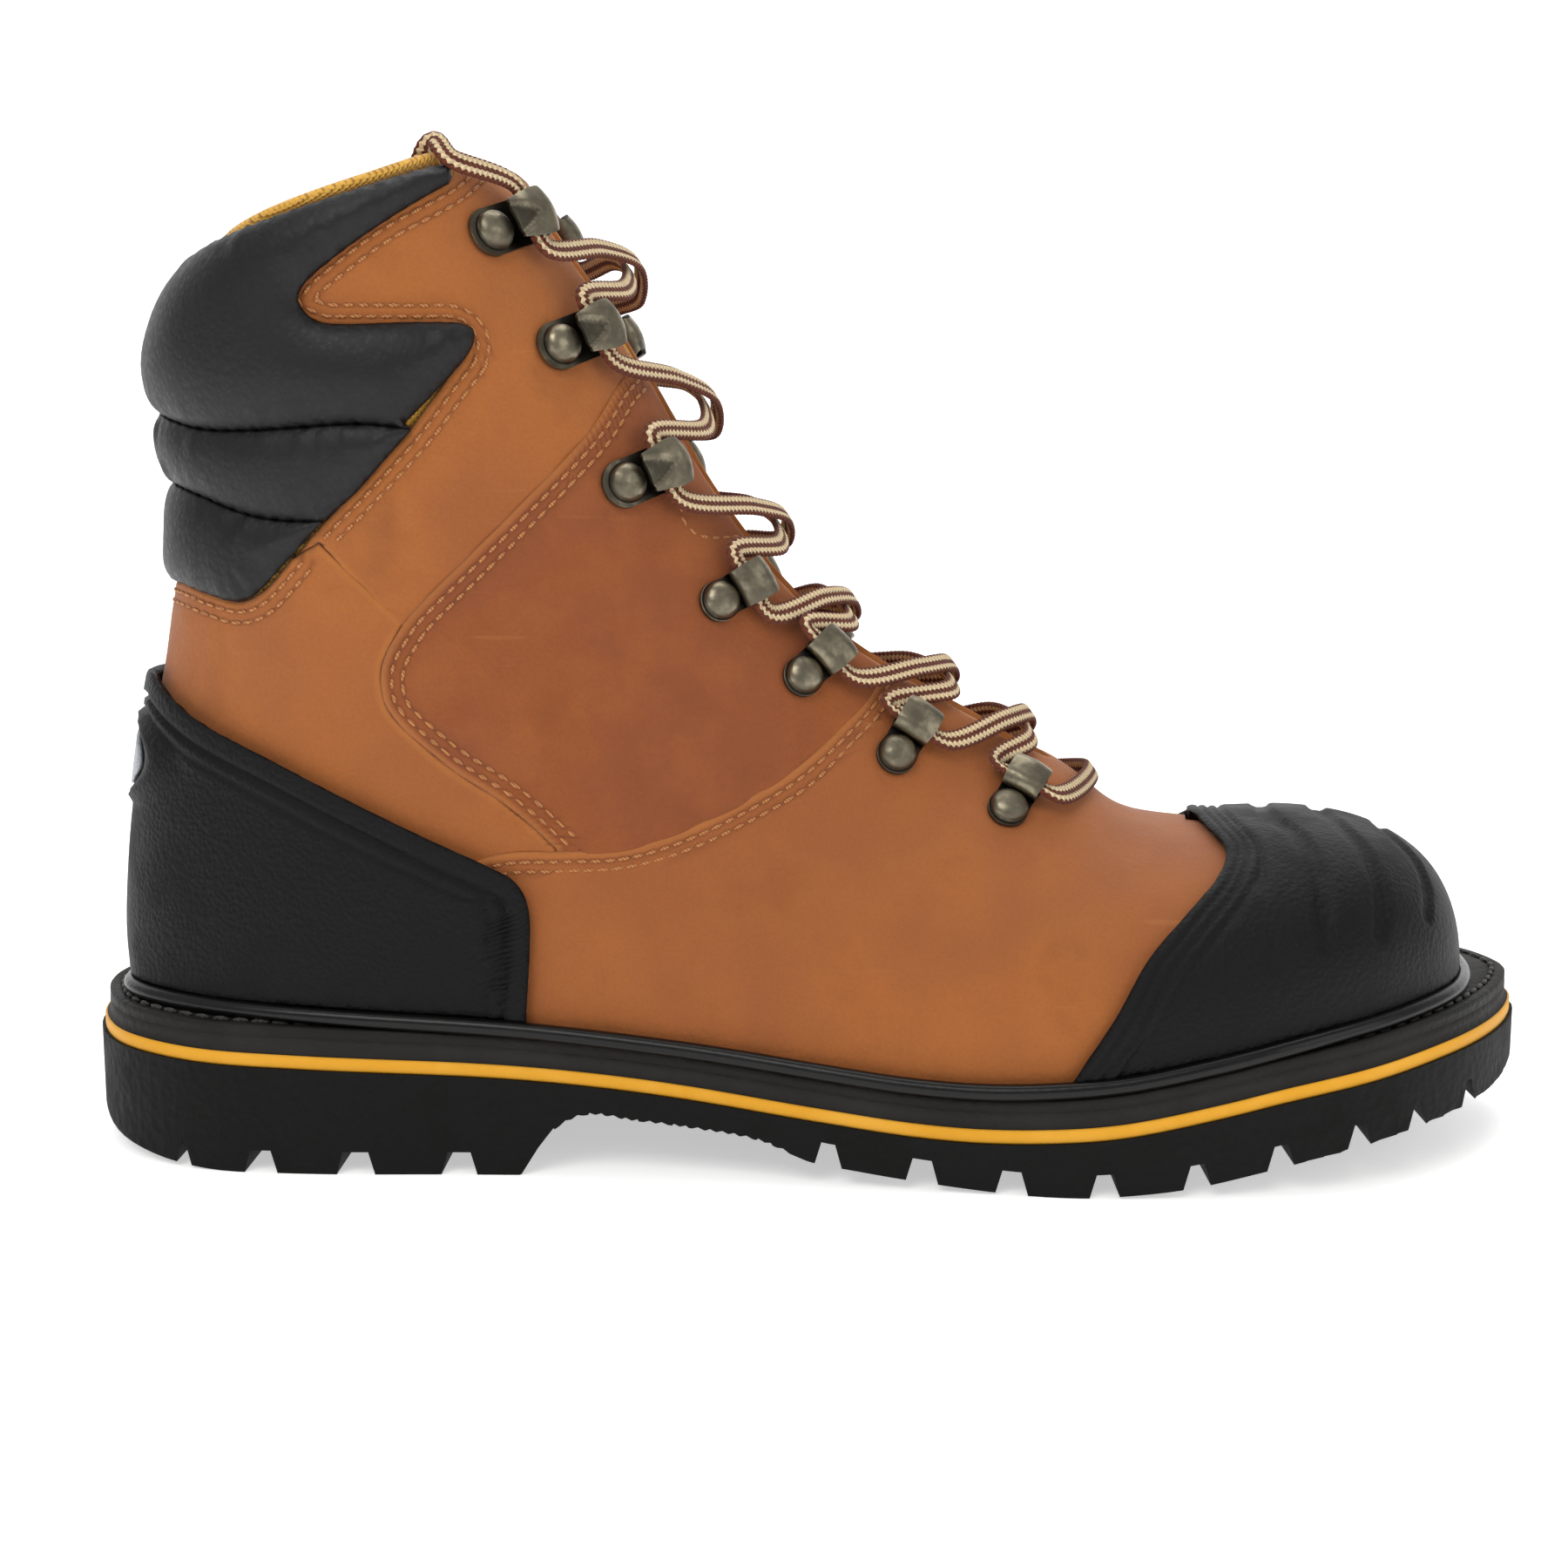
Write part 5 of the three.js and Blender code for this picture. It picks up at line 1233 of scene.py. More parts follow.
def roundRun(points, count, closed=False):
    # centripetal curve through the points, evenly spaced along its length
    p = np.array(points, float)
    p = np.vstack([p[-1:], p, p[:2]]) if closed else np.vstack([2 * p[:1] - p[1:2], p, 2 * p[-1:] - p[-2:-1]])
    made = []
    for i in range(1, len(p) - 2):
        a, b, c, d = p[i - 1:i + 3]
        ab, bc, cd = (max(np.linalg.norm(n - m), 1e-6) ** 0.5 for m, n in ((a, b), (b, c), (c, d)))
        m1 = ((b - a) / ab - (c - a) / (ab + bc) + (c - b) / bc) * bc
        m2 = ((c - b) / bc - (d - b) / (bc + cd) + (d - c) / cd) * bc
        for u in np.arange(24) / 24:
            made.append(b * (2 * u**3 - 3 * u**2 + 1) + m1 * (u**3 - 2 * u**2 + u) + c * (3 * u**2 - 2 * u**3)
                        + m2 * (u**3 - u**2))
    made.append(p[-2])
    made = np.array(made)
    at = runLength(made)
    even = np.linspace(0, at[-1], count + (1 if closed else 0))
    made = np.stack([np.interp(even, at, made[:, i]) for i in range(made.shape[1])], 1)
    return made[:-1] if closed else made


def planInset(ring, inset):
    ahead = np.roll(ring, -1, axis=0) - np.roll(ring, 1, axis=0)
    return ring + unit(np.stack([-ahead[:, 1], ahead[:, 0]], 1)) * inset


soleRing = roundRun(solePlan, 420, closed=True)


def hoop(name, rows, material, slot, *nodes):
    # a closed band round the sole: rows of (inset, height over x) from low outside to low inside
    rings = []
    for inset, height in rows:
        plan = planInset(soleRing, inset)
        rings.append(np.column_stack([plan, height(plan[:, 0])]))
    count, points = len(soleRing), np.vstack(rings)
    faces = [(r * count + i, r * count + (i + 1) % count, ((r + 1) % len(rows)) * count + (i + 1) % count,
              ((r + 1) % len(rows)) * count + i) for r in range(len(rows)) for i in range(count)]
    piece = putMesh(name, points, faces, {"seam": np.zeros(len(points))})
    finishPiece(piece, "boot", material, slot, *nodes)


def above(rise, base=stripeTop):
    return lambda x: base(x) + rise


def grooveDepth(x, y):
    deep = np.zeros(len(x))
    look = soleLook
    for centre, width in soleGrooves:
        low, high = width / 2 + 0.25, width / 2 - look["flare"]
        deep = np.maximum(deep, np.clip((low - np.abs(x - centre)) / (low - high), 0, 1) * look["lugDepth"])
    for x0, x1, centre in soleChannels:
        across = np.clip((2.8 - np.abs(y - centre)) / 0.6, 0, 1)
        deep = np.maximum(deep, np.where((x > x0) & (x < x1), across, 0) * look["lugDepth"] * 0.8)
    return deep


def makeOutsole():
    look = soleLook
    ring = soleRing[::2]
    points = [tuple(p) for p in ring]
    edges = []

    def lineAcross(x, y0=-70, y1=70):
        edges.append((len(points), len(points) + 1))
        points.extend([(x, y0), (x, y1)])

    for centre, width in soleGrooves:
        for reach in (width / 2 + 0.25, width / 2 - look["flare"]):
            lineAcross(centre - reach)
            lineAcross(centre + reach)
    for x0, x1, centre in soleChannels:
        for reach in (2.8, 2.2):
            for y in (centre - reach, centre + reach):
                edges.append((len(points), len(points) + 1))
                points.extend([(x0, y), (x1, y)])
    count = int(50 / look["ripplePitch"])
    rippleX = [-54 + look["ripplePitch"] * i for i in range(count)]
    for x in rippleX:
        lineAcross(x)
    for x in np.arange(-156, 157, 4.0):
        if not -58 < x < -2:
            lineAcross(x)
    made = delaunay_2d_cdt([Vector(p) for p in points], edges, [list(range(len(ring)))], 1, 1e-4)
    plan = np.array([tuple(v) for v in made[0]])
    triangles = [tuple(f) for f in made[2]]
    x, y = plan.T
    bottom = treadZ(x) + grooveDepth(x, y)
    nearRipple = np.abs(x[:, None] - np.array(rippleX)[None])
    odd = nearRipple.argmin(1) % 2
    wavy = (nearRipple.min(1) < 0.05) & (x > -55) & (x < -3)
    bottom = bottom + np.where(wavy, odd * look["ripple"], 0)
    bottom = bottom + np.where(x > 100, 0.18 * np.sin(x * 5.1 + y), 0)
    low = np.column_stack([plan, np.maximum(bottom, 0)])
    top = np.column_stack([plan, stripeTop(x) - stripeThickness])
    total = len(plan)
    faces = [f[::-1] for f in triangles] + [tuple(i + total for i in f) for f in triangles]
    sideEdges = {}
    for a, b, c in triangles:
        for edge in ((a, b), (b, c), (c, a)):
            sideEdges[edge] = True
    for a, b in list(sideEdges):
        if (b, a) not in sideEdges:
            faces.append((a, b, b + total, a + total))
    points3 = np.vstack([low, top])
    # painted shade: darker the deeper the tread groove
    deep = np.concatenate([grooveDepth(x, y) / look["lugDepth"], np.zeros(total)])
    piece = putMesh("outsole", points3, faces, {"seam": deep * 0.6}, smooth=False)
    bevel = piece.modifiers.new("softEdges", "BEVEL")
    bevel.width, bevel.segments, bevel.limit_method, bevel.angle_limit = 0.35 * mm, 1, "ANGLE", math.radians(50)
    finishPiece(piece, "boot", treadRubber, "tread_rubber", "outsole")


def makeSoleLayers():
    r = 0.35
    hoop("soleStripe", [(0.8, above(-stripeThickness)), (0.8 - 0.05, above(-stripeThickness + r)), (0.75, above(-r)),
                        (0.95, above(-0.05)), (14, above(-0.05)), (14, above(-stripeThickness))],
         stripeRubber, "stripe", "sole_stripe")
    top = midsoleThickness
    hoop("midsole", [(1.2, above(0)), (1.75, above(0.25)), (1.95, above(top * 0.5)), (1.95, above(top)),
                     (14, above(top)), (14, above(0))], midsoleRubber, "midsole", "midsole")
    edge = midsoleThickness + weltThickness
    hoop("welt", [(1.95, above(top)), (2.1, above(top + 0.4)), (2.0, above(top + 0.9)), (2.0, above(edge - 0.5)),
                  (2.35, above(edge - 0.1)), (3.0, above(edge)), (4.1, above(edge)), (4.5, above(edge - 0.45)),
                  (5.4, above(edge - 0.45)), (5.8, above(edge)), (18, above(edge)), (18, above(top))],
         weltEdge, "welt_rubber", "welt")


def footLoop(height, distance, count=420):
    lateral = footRun(7.0, 18.85, 240, above=height)
    lateral = lateral[(lateral[:, 1] > -pi + 0.004)]
    halves = []
    for run in (lateral, (lateral * [1, -1])[::-1]):
        normal = outward(run)
        normal[:, 2] = 0
        halves.append(lastPoint(run) + unit(normal) * distance)
    loop = np.vstack(halves)
    at = runLength(np.vstack([loop, loop[:1]]))
    even = np.linspace(0, at[-1], count + 1)[:-1]
    loop = np.stack([np.interp(even, at, np.append(loop[:, i], loop[0, i])) for i in range(3)], 1)
    for _ in range(10):
        loop = (np.roll(loop, 1, axis=0) + 2 * loop + np.roll(loop, -1, axis=0)) / 4
    return loop


def tube(name, path, radii, sides, closed=False, section=(1.0, 1.0)):
    # a swept bar; section scales the circle to (wide, high)
    path = np.asarray(path, float)
    ahead = unit(np.roll(path, -1, axis=0) - np.roll(path, 1, axis=0) if closed else np.gradient(path, axis=0))
    wide = unit(np.cross(ahead, [0, 0, 1.0]))
    high = np.cross(wide, ahead)
    radii = np.broadcast_to(radii, len(path))
    angles = np.arange(sides) * 2 * pi / sides
    su, sv = section
    rings = [p + np.outer(np.cos(angles) * r * su, w) + np.outer(np.sin(angles) * r * sv, h)
             for p, r, w, h in zip(path, radii, wide, high)]
    points, faces, count = np.vstack(rings), [], len(path)
    for i in range(count if closed else count - 1):
        a, b = i * sides, ((i + 1) % count) * sides
        faces += [(a + j, a + (j + 1) % sides, b + (j + 1) % sides, b + j) for j in range(sides)]
    if not closed:
        faces += [tuple(range(sides))[::-1], tuple((count - 1) * sides + j for j in range(sides))]
    return putMesh(name, points, faces, {"seam": np.zeros(len(points))})


def makeWeltDetail():
    loop = footLoop(beadRadius, beadRadius + 2.3)
    loop[:, 2] = weltTop(loop[:, 0]) + beadRadius + 0.1
    finishPiece(tube("weltBead", loop, beadRadius, 14, True), "boot", weltRubber, "welt_rubber", "welt_bead")
    plan = planInset(soleRing, 4.9)
    sewing = np.column_stack([plan, weltTop(plan[:, 0]) - 0.2])
    up = np.tile([0.0, 0.0, 1.0], (len(sewing), 1))
    thread = sewn("weltStitches", [(sewing, up)], stitchTree("weltStitches", darkThread), 4.3, 3.7, 1.1, 0.2, True)
    finishPiece(thread, "boot", darkThread, "thread", "welt_thread")


makeOutsole()
makeSoleLayers()
makeWeltDetail()
print("sole ready")

# lining, binding and tongue
liningLook = {"outer": -1.2, "thickness": 3.5, "showing": 1.1}
bindingLook = {"radius": 1.35, "depth": -2.4, "start": 0.62}
tongueLook = {"outer": -5.7, "thickness": 3.8, "roll": 1.1}
tongueOver = [[-120, 21], [-40, 23], [20, 20], [53, 15], [60, 14]]
toplineHeight = heightOver([[-140, 181.5]] + topline)


def toplineAt(k, depth):
    # the station where the surface at this depth meets the topline
    k = np.asarray(k, float)

    def under(t):
        p = skin(np.stack([t, k], 1), depth)
        return p[:, 2] <= toplineHeight(p[:, 0])
    return np.stack([halved(np.full(len(k), 0.0), np.full(len(k), 3.0), under), k], 1)


def makeLining():
    look = liningLook
    opening = [[x, max(y - look["showing"], 0.05)] for x, y in slotOver]
    edge = facingRun(0.3, 10.4, 170, opening)
    top = toplineAt(np.linspace(-pi, edge[0, 1], 90), look["outer"])
    join = int(np.argmin(np.abs(edge[:, 0] - toplineAt(edge[:, 1], look["outer"])[:, 0])))
    top = top[top[:, 1] < edge[join, 1]]
    ridge = np.stack([np.linspace(10.6, 18.3, 60), np.full(60, -0.001)], 1)
    foot = footRun(7.2, 18.3, 110, above=1.0)[::-1]
    foot = foot[foot[:, 1] > -pi + 0.02]
    half = np.vstack([top, edge[join:], ridge, foot, [[foot[-1, 0] - 0.03, -pi]]])
    q, faces, _ = panelSheet(closedLoop(half, roundBack(half)), 3.4, 1.6, (0.5, 1.1, 2.0, 3.2))
    flat = lastPoint(q)
    shown, _ = nearest(flat, lastPoint(evenly(np.vstack([top, edge[join:]]), 0.8, closed=False)))
    height = look["outer"] - 0.6 * (1 - np.clip(shown / 1.4, 0, 1)) ** 2 - 0.25 * ripple(flat, 30, 61)
    points = skin(q, height)
    lining = putMesh("lining", points, facedOut(q, faces, points), {"edge": shown})
    thicken(lining, look["thickness"])
    finishPiece(lining, "boot", liningMesh, "lining_mesh", "lining")


def makeBinding():
    look = bindingLook
    k = np.linspace(-2 * pi + look["start"], -look["start"], 260)
    spots = skin(toplineAt(k, look["depth"]), look["depth"]) + [0, 0, 1.35]
    radii = look["radius"] * (1 + 0.05 * ripple(spots, 14, 71))
    closing = np.clip(np.minimum(np.arange(260), np.arange(260)[::-1]) / 4, 0, 1)
    roll = tube("collarBinding", spots, radii * np.sqrt(1 - (1 - closing) ** 2 * 0.96), 14, section=(1.25, 1.0))
    finishPiece(roll, "boot", liningMesh, "lining_mesh", "collar_binding")


def makeTongue():
    look = tongueLook
    side = facingRun(0.0, 10.5, 150, tongueOver)
    join = int(np.argmin(np.abs(side[:, 0] - toplineAt(side[:, 1], look["outer"])[:, 0])))
    side = side[join:]
    top = toplineAt(np.linspace(-side[0, 1], side[0, 1], 40), look["outer"])[1:-1]
    foot = np.stack([np.full(12, 10.6), np.linspace(side[-1, 1], -side[-1, 1], 12)], 1)
    q, faces, loop = panelSheet(closedLoop(top, side, foot, (side * [1, -1])[::-1]), 2.4, 1.5)
    flat = lastPoint(q)
    far, _ = nearest(flat, lastPoint(evenly(loop, 0.8)))
    centre = np.exp(-(flat[:, 1] / 6.0) ** 2)
    height = look["outer"] - look["roll"] * (1 - np.clip(far / 3.2, 0, 1)) ** 2 - 0.5 * pulse(far, 4.6, 0.7)
    height += 0.35 * centre + 0.3 * ripple(flat, 26, 83)
    points = skin(q, height)
    # the seam attribute holds painted shade in the groove near the edge
    tongue = putMesh("tongue", points, facedOut(q, faces, points), {"edge": far, "seam": pulse(far, 4.6, 0.6)})
    thicken(tongue, look["thickness"])
    bake(tongue)
    finishPiece(tongue, "tongue", tongueLeather, "tongue_leather", "tongue")


# footbed
footbedLook = {"foot": 7.05, "head": 10.6, "heelRise": 2.4, "cup": 1.3, "spacing": 3.2}


def makeFootbed():
    look = footbedLook
    ring = footLoop(0.0, -7.8, 260)[:, :2]
    rows = [ring] + [planInset(ring, inset) for inset in (0.4, 0.9, 1.6, 2.6, 4.0, 5.6)]
    x, y = np.meshgrid(np.arange(-150, 150, look["spacing"]), np.arange(-60, 60, look["spacing"]), indexing="ij")
    grid = np.stack([x.ravel(), y.ravel()], 1)
    grid = grid[isInside(grid, ring)]
    far, _ = nearest(grid, ring)
    plan = np.vstack(rows + [grid[far > 7.2]])
    made = delaunay_2d_cdt([Vector(p) for p in plan], [], [list(range(len(ring)))], 1, 1e-4)
    plan = np.array([tuple(v) for v in made[0]])
    triangles = [tuple(f) for f in made[2]]
    far, _ = nearest(plan, ring)
    share = np.clip((-20 - plan[:, 0]) / 60, 0, 1)
    high = stripeTop(plan[:, 0]) + look["head"] + look["heelRise"] * share
    high = high + look["cup"] * (0.4 + 0.6 * share) * np.exp(-(far / 9) ** 2)
    high = high - 1.3 * (1 - np.clip(far / 1.6, 0, 1)) ** 2
    low = stripeTop(plan[:, 0]) + look["foot"]
    count = len(plan)
    points = np.vstack([np.column_stack([plan, low]), np.column_stack([plan, high])])
    edge = range(len(ring))
    faces = [f[::-1] for f in triangles] + [tuple(i + count for i in f) for f in triangles]
    walls = [(i, (i + 1) % len(ring), (i + 1) % len(ring) + count, i + count) for i in edge]
    footbed = putMesh("footbed", points, faces + walls)
    finishPiece(footbed, "footbed", liningMesh, "lining_mesh", "footbed")


makeLining()
makeBinding()
makeTongue()
makeFootbed()
print("lining, tongue and footbed ready")

# hooks, loops and rivets
hookLook = {"height": 5.7, "bend": 11.1, "wall": 1.0, "dimple": 0.85}
loopLook = {"height": 4.95, "front": 9.9, "rear": 6.6, "wall": 0.9}
rivetLook = {"radius": 4.0, "seat": 1.0, "dome": 2.3}
panelRaise = {"shaft": 0.6, "mid": 1.4, "vamp": 1.7}
seatPlaces = [["hook", 1, -64, 190, "shaft"], ["hook", 2, -51, 168, "shaft"], ["hook", 3, -38, 143, "mid"],
              ["loop", 4, -19, 118, "mid"], ["loop", 5, -2, 101, "mid"], ["loop", 6, 18, 85, "vamp"],
              ["loop", 7, 41, 73, "vamp"]]
squareness = 0.75


def findSeats():
    # for every hook and loop: its place, and which way it points and faces
    t, angle = np.meshgrid(0.5 + 13 * np.arange(121) / 120, 0.2 + 1.6 * np.arange(61) / 60, indexing="ij")
    grid = np.stack([t.ravel(), -angle.ravel()], 1)
    spots = lastPoint(grid)[:, [0, 2]]
    seats = []
    for kind, number, x, z, panel in seatPlaces:
        station, turn = grid[np.argmin(((spots - [x, z]) ** 2).sum(1))]
        for side, name in ((-1, "lateral"), (1, "medial")):
            q = np.array([[station, -side * turn]])
            place = skin(q, panelRaise[panel])[0]
            out = outward(q)[0]
            ring = skin(q + [0, -side * 0.02], panelRaise[panel])[0] - place
            down = skin(q + [0.1, 0], panelRaise[panel])[0] - place
            ring, down = ring / np.linalg.norm(ring), down / np.linalg.norm(down)
            forward = ring * (1 - squareness) - side * np.cross(out, down) * squareness
            forward -= out * (out @ forward)
            forward /= np.linalg.norm(forward)
            seats.append({"kind": kind, "number": number, "side": side, "name": name, "t": station, "place": place,
                          "forward": forward, "across": np.cross(out, forward), "out": out})
    return seats


def bentStrip(name, profile, halfWidth, wall, crown=0.0, dimple=None, rows=110, across=26):
    # a strip laid along a side view line, as wide as halfWidth says at each x and z
    profile = np.array(profile)
    length = runLength(profile)
    at = np.linspace(0, length[-1], rows)
    x, z = np.interp(at, length, profile[:, 0]), np.interp(at, length, profile[:, 1])
    wide = [halfWidth(a, b) for a, b in zip(x, z)]
    ahead = unit(np.gradient(np.stack([x, z], 1), axis=0))
    points, faces = [], []
    for i in range(len(at)):
        for j in range(across + 1):
            v = math.sin((2 * j / across - 1) * pi / 2)
            lift = -crown * v**2 * np.clip((z[i] - 2.0) / 2.5, 0, 1)
            if dimple:
                lift -= dimple(x[i], z[i], v * wide[i])
            points.append((x[i] + ahead[i, 1] * lift, v * wide[i], z[i] - ahead[i, 0] * lift))
    for i in range(len(at) - 1):
        for j in range(across):
            a = i * (across + 1) + j
            faces.append((a, a + across + 1, a + across + 2, a + 1))
    strip = putMesh(name, points, faces)
    thicken(strip, wall, 0.0)
    soft = strip.modifiers.new("softEdges", "BEVEL")
    soft.width, soft.segments, soft.limit_method, soft.angle_limit = 0.3 * mm, 2, "ANGLE", math.radians(50)
    return bake(strip)


def paintWearAndShade(form, shade):
    # how bright each spot is painted: wear and patina from where it is, painted shade where it faces down or lies
    # under the hood or barrel
    count = len(form.data.vertices)
    place, facing = np.zeros(count * 3), np.zeros(count * 3)
    form.data.vertices.foreach_get("co", place)
    form.data.vertices.foreach_get("normal", facing)
    values = shade(place.reshape(-1, 3) / mm, facing.reshape(-1, 3))
    form.data.attributes.new("wearAndShade", "FLOAT", "POINT").data.foreach_set("value", values.astype(np.float32))
    return form


def plateLine(start, bend, height, back, lift):
    # flat plate, round the bend, and back over it
    r = (height - 0.5) / 2
    a = np.linspace(-pi / 2, pi / 2, 22)
    fold = np.stack([bend + r * np.cos(a), 0.5 + r + r * np.sin(a)], 1)
    flat = np.stack([np.linspace(start, bend - 0.2, 40), np.full(40, 0.5)], 1)
    over = np.stack([np.linspace(bend - 0.2, back, 24), np.linspace(height, height + lift, 24)], 1)
    return np.vstack([flat, fold, over])


def hookDimple(x, z, y):
    # a rounded triangle pressed into the hood, open at its rear edge
    if z < 4.6:
        return 0.0
    reach = np.clip((8.9 - x) / 5.7, 0, 1)
    edge = 3.0 * reach**0.6
    inside = 1 / (1 + math.exp(-(edge - abs(y)) / 0.2))
    return hookLook["dimple"] * inside * np.clip((8.9 - x) / 0.5, 0, 1)


def hookWidth(x, z):
    if x < -0.6:
        return math.sqrt(max(0.25, 25 - (x + 0.6) ** 2))
    if x > 9.2:
        return 4.9 * (1 - min(0.95, (x - 9.2) / 5.3) ** 3) ** (1 / 3)
    return float(np.interp(x, [3, 9.2], [3.9, 4.9])) if z > 3.2 else 4.9


def loopWidth(x, z):
    if x < -0.4:
        return math.sqrt(max(0.2, 18.5 - (x + 0.4) ** 2))
    if x > 10:
        return 4.2 * (1 - min(0.95, (x - 10) / 2.7) ** 3) ** (1 / 3)
    return float(np.interp(x, [0, 2.5, 5, 6.5], [4.3, 3.9, 4.0, 4.2]))


def makeForms():
    look = hookLook
    line = plateLine(-5.5, look["bend"], look["height"], 3.1, 0.2)
    hook = bentStrip("hookForm", line, hookWidth, look["wall"], 0.9, hookDimple)

    def hookShade(p, n):
        # painted shade on the down-facing sides of the hood and on the plate under it
        hood = 0.85 - 0.75 * (n[:, 2] < -0.25)
        plate = np.where(n[:, 2] > 0.6, np.interp(p[:, 0], [0, 3.5, 10], [0.45, 0.02, 0.0]), 0.75)
        pressed = (np.abs(p[:, 1]) < 2.7 * np.clip((8.7 - p[:, 0]) / 5.7, 0, 1) ** 0.6) & (p[:, 0] < 8.6)
        return np.where(p[:, 2] > 3.2, np.where(pressed, hood * 0.5, hood), np.where(p[:, 0] > 11.5, 0.8, plate))

    paintWearAndShade(hook, hookShade)
    look = loopLook
    r = (look["height"] - 0.45) / 2
    a = np.linspace(pi / 2, 3 * pi / 2 - 0.25, 20)
    rear = np.stack([look["rear"] + r * np.cos(a), 0.45 + r + r * np.sin(a)], 1)
    line = np.vstack([plateLine(-4.7, look["front"], look["height"], look["rear"] + 0.1, 0.0), rear])
    line[:, 1] = np.where(line[:, 1] < 0.45, 0.45, line[:, 1])
    loop = bentStrip("loopForm", line, loopWidth, look["wall"], 0.5)

    def loopShade(p, n):
        # lower parts darker, and painted shade on the plate under the barrel
        outer = np.where(p[:, 2] > 1.5, 0.8, 0.5)
        return np.where((p[:, 0] > 1.5) & (p[:, 0] < 4.6) & (p[:, 2] < 2.2), 0.05, outer)

    paintWearAndShade(loop, loopShade)
    look = rivetLook
    a = np.linspace(0, pi / 2, 9)
    profile = [(look["radius"] * math.sin(u), look["seat"] + 0.45 + look["dome"] * math.cos(u) ** 0.9) for u in a]
    profile += [(look["radius"] + 0.25, look["seat"] + 0.3), (look["radius"] + 0.2, look["seat"])]
    profile[0] = (0.02, profile[0][1])
    sides = 28
    points = [(r * math.cos(2 * pi * j / sides), r * math.sin(2 * pi * j / sides), z) for r, z in profile
              for j in range(sides)]
    faces = [(i * sides + j, (i + 1) * sides + j, (i + 1) * sides + (j + 1) % sides, i * sides + (j + 1) % sides)
             for i in range(len(profile) - 1) for j in range(sides)]
    faces += [tuple(range(sides)), tuple((len(profile) - 1) * sides + j for j in reversed(range(sides)))]
    rivet = putMesh("rivetForm", points, faces)
    paintWearAndShade(rivet, lambda p, n: np.interp(p[:, 2], [1.0, 1.5, 2.0, 3.2], [0.1, 0.3, 0.75, 1.0]))
    return {"hook": hook, "loop": loop, "rivet": rivet}


def setTree():
    # places a form at every point, turned by the point's own directions
    tree, add, link, given, result = startNodes("laceHardware", form="Object", size="Float")
    form = add("GeometryNodeObjectInfo")
    link(given.outputs["form"], form.inputs["Object"])
    turned = add("FunctionNodeAxesToRotation")
    turned.primary_axis, turned.secondary_axis = "Z", "X"
    for socket, key in enumerate(("out", "forward")):
        direction = add("GeometryNodeInputNamedAttribute")
        direction.data_type = "FLOAT_VECTOR"
        direction.inputs["Name"].default_value = key
        link(direction.outputs["Attribute"], turned.inputs[socket])
    placed = add("GeometryNodeInstanceOnPoints")
    link(given.outputs["Geometry"], placed.inputs["Points"])
    link(form.outputs["Geometry"], placed.inputs["Instance"])
    link(turned.outputs[0], placed.inputs["Rotation"])
    link(given.outputs["size"], placed.inputs["Scale"])
    real, paint = add("GeometryNodeRealizeInstances"), add("GeometryNodeSetMaterial")
    link(placed.outputs[0], real.inputs[0])
    link(real.outputs[0], paint.inputs["Geometry"])
    paint.inputs["Material"].default_value = antiqueBrass
    link(paint.outputs[0], result.inputs[0])
    return tree


def makeHardware(seats):
    forms, tree = makeForms(), setTree()
    for kind, name in (("hook", "laceHooks"), ("loop", "laceLoops"), ("rivet", "laceRivets")):
        own = [seat for seat in seats if kind in ("rivet", seat["kind"])]
        points = bpy.data.meshes.new(name)
        points.from_pydata([tuple(seat["place"] * mm) for seat in own], [], [])
        for key in ("out", "forward"):
            values = np.array([seat[key] for seat in own], np.float32).ravel()
            points.attributes.new(key, "FLOAT_VECTOR", "POINT").data.foreach_set("vector", values)
        piece = bpy.data.objects.new(name, points)
        bpy.context.collection.objects.link(piece)
        runNodes(piece, tree, form=forms[kind], size=1.0)
        nodes = ["{}_{}_{}".format(kind, seat["name"], seat["number"]) for seat in own]
        finishPiece(piece, "boot", antiqueBrass, "antique_brass", *nodes)
    for form in forms.values():
        bpy.data.objects.remove(form)


seats = findSeats()
makeHardware(seats)
print("hooks, loops and rivets ready")

# lace
laceLook = {"width": 4.6, "thickness": 1.45, "clear": 4.2, "crossLift": 1.3, "crossAngle": 0.24, "stitch": 1.15,
            "relief": 0.13, "rows": 3200, "sides": 18}
laceSeat = {"hook": (8.6, 3.1, 6.8), "loop": (7.6, 2.7, 7.2)}
laceSlack = [4, 3, 2, 0.6, 0.3, 0.3]


def lacePass(number, side):
    seat = next(s for s in seats if s["number"] == number and s["side"] == side)
    x, z, half = laceSeat[seat["kind"]]
    centre = seat["place"] + seat["forward"] * x + seat["out"] * z
    along = seat["across"] * (1 if seat["across"][2] > 0 else -1)
    return {"points": [centre + along * half, centre, centre - along * half], "t": seat["t"], "side": side}


def crossing(upper, lower, slack, above):
    look = laceLook
    spots = []
    for u in (0.25, 0.5, 0.75):
        t = upper["t"] + (lower["t"] - upper["t"]) * (0.15 + 0.7 * u)
        side = upper["side"] if u < 0.5 else lower["side"]
        k = 0.0 if u == 0.5 else side * look["crossAngle"]
        if u == 0.5:
            lift = slack + look["crossLift"] * (1 if above else -1)
        else:
            lift = slack / 2 + (0.5 if above else -0.1)
        spots.append(skin(np.array([[t, k]]), look["clear"] + lift)[0])
    return spots


def strand(start, above):
    # down from a top hook to the bottom pair, changing sides at each
    passes = [lacePass(i + 1, -start if i % 2 else start) for i in range(len(seatPlaces))]
    spots = []
    for i, here in enumerate(passes):
        spots += here["points"]
        if i + 1 < len(passes):
            spots += crossing(here, passes[i + 1], laceSlack[i], (i % 2 == 0) == above)
    return spots


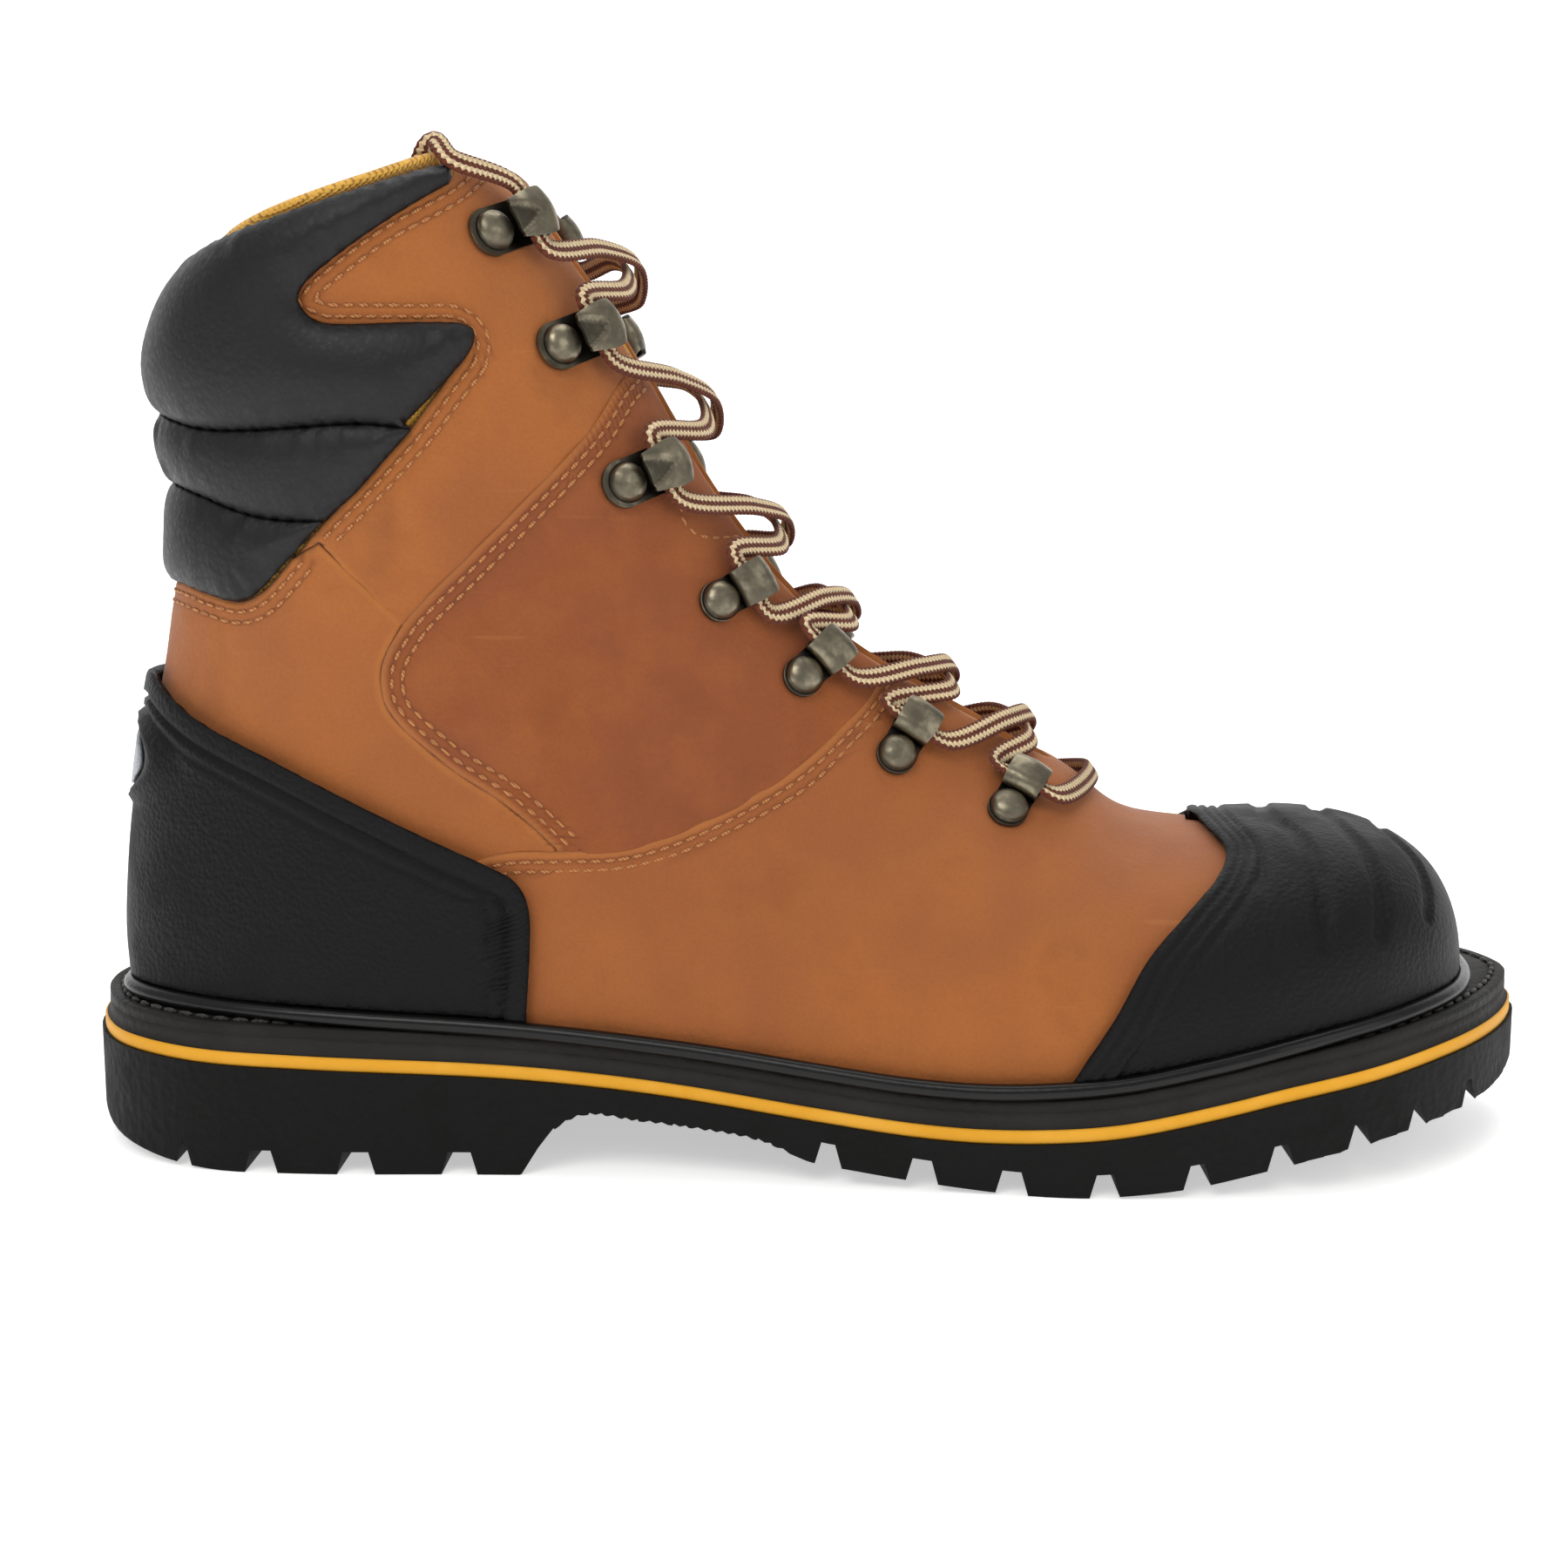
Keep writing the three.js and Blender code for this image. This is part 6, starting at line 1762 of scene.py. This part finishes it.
def tuck(side):
    # an end of the lace, over the topline and down inside the shaft
    k = side * 0.85
    inside = [skin(np.array([[t, k]]), -7.8)[0] for t in (2.2, 1.7)]
    rises = ((-8, -3), (-2.4, 4.9), (3.4, -0.5))
    return inside + [skin(toplineAt([k], depth), depth)[0] + [0, 0, rise] for depth, rise in rises]


def makeLace():
    look = laceLook
    lowest = skin(np.array([[seats[-1]["t"] + 0.6, 0.0]]), look["clear"])
    path = np.vstack([tuck(-1), strand(-1, True), lowest, strand(1, False)[::-1], tuck(1)[::-1]])
    path = roundRun(path, look["rows"])
    a, b = np.array([-95.0, 0, 190.0]), np.array([20.0, 0, 20.0])
    share = np.clip((path - a) @ (b - a) / ((b - a) @ (b - a)), 0, 1)
    facing = path - (a + share[:, None] * (b - a))
    ahead = unit(np.gradient(path, axis=0))
    wide = unit(np.cross(ahead, unit(facing)))
    for _ in range(60):
        wide[1:-1] = (wide[:-2] + wide[1:-1] * 2 + wide[2:]) / 4
        wide = unit(wide)
    high = unit(np.cross(wide, ahead))
    run = runLength(path) / look["stitch"]
    sides = look["sides"]
    angles = np.arange(sides) * 2 * pi / sides
    u = np.sign(np.cos(angles)) * np.abs(np.cos(angles)) ** 0.75
    v = np.sign(np.sin(angles)) * np.abs(np.sin(angles)) ** 0.55
    ribs = 0.5 + 0.5 * np.cos(u * 3 * pi)  # three cords side by side
    braid = np.sin(2 * pi * (run[:, None] + np.abs(u)[None] * 0.7))
    half = look["thickness"] / 2 * (0.86 + 0.14 * ribs[None]) + look["relief"] * braid * (np.abs(v)[None] > 0.2)
    reach = look["width"] / 2 * (1 + 0.04 * np.sin(2 * pi * run))[:, None]
    points = path[:, None] + wide[:, None] * (u[None] * reach)[..., None]
    points = points + high[:, None] * (v[None] * half)[..., None]
    count = len(path)
    faces = [(i * sides + j, i * sides + (j + 1) % sides, (i + 1) * sides + (j + 1) % sides, (i + 1) * sides + j)
             for i in range(count - 1) for j in range(sides)]
    faces += [tuple(range(sides))[::-1], tuple((count - 1) * sides + j for j in range(sides))]
    uv = np.stack([np.repeat(run, sides), np.tile(0.5 + 0.5 * u, count)], 1)
    lace = putMesh("lace", points.reshape(-1, 3), faces, uv=uv)
    finishPiece(lace, "boot", bootLace, "lace", "lace")


makeLace()
print("lace ready")

# hidden stiff pieces
for node, material in (("steel_toe", toeSteel), ("steel_shank", toeSteel), ("cork_filler", corkFill),
                       ("insole_board", boardFibre)):
    slots = bpy.data.objects[node].data.materials
    slots.clear()
    slots.append(material)
print("hidden pieces finished")
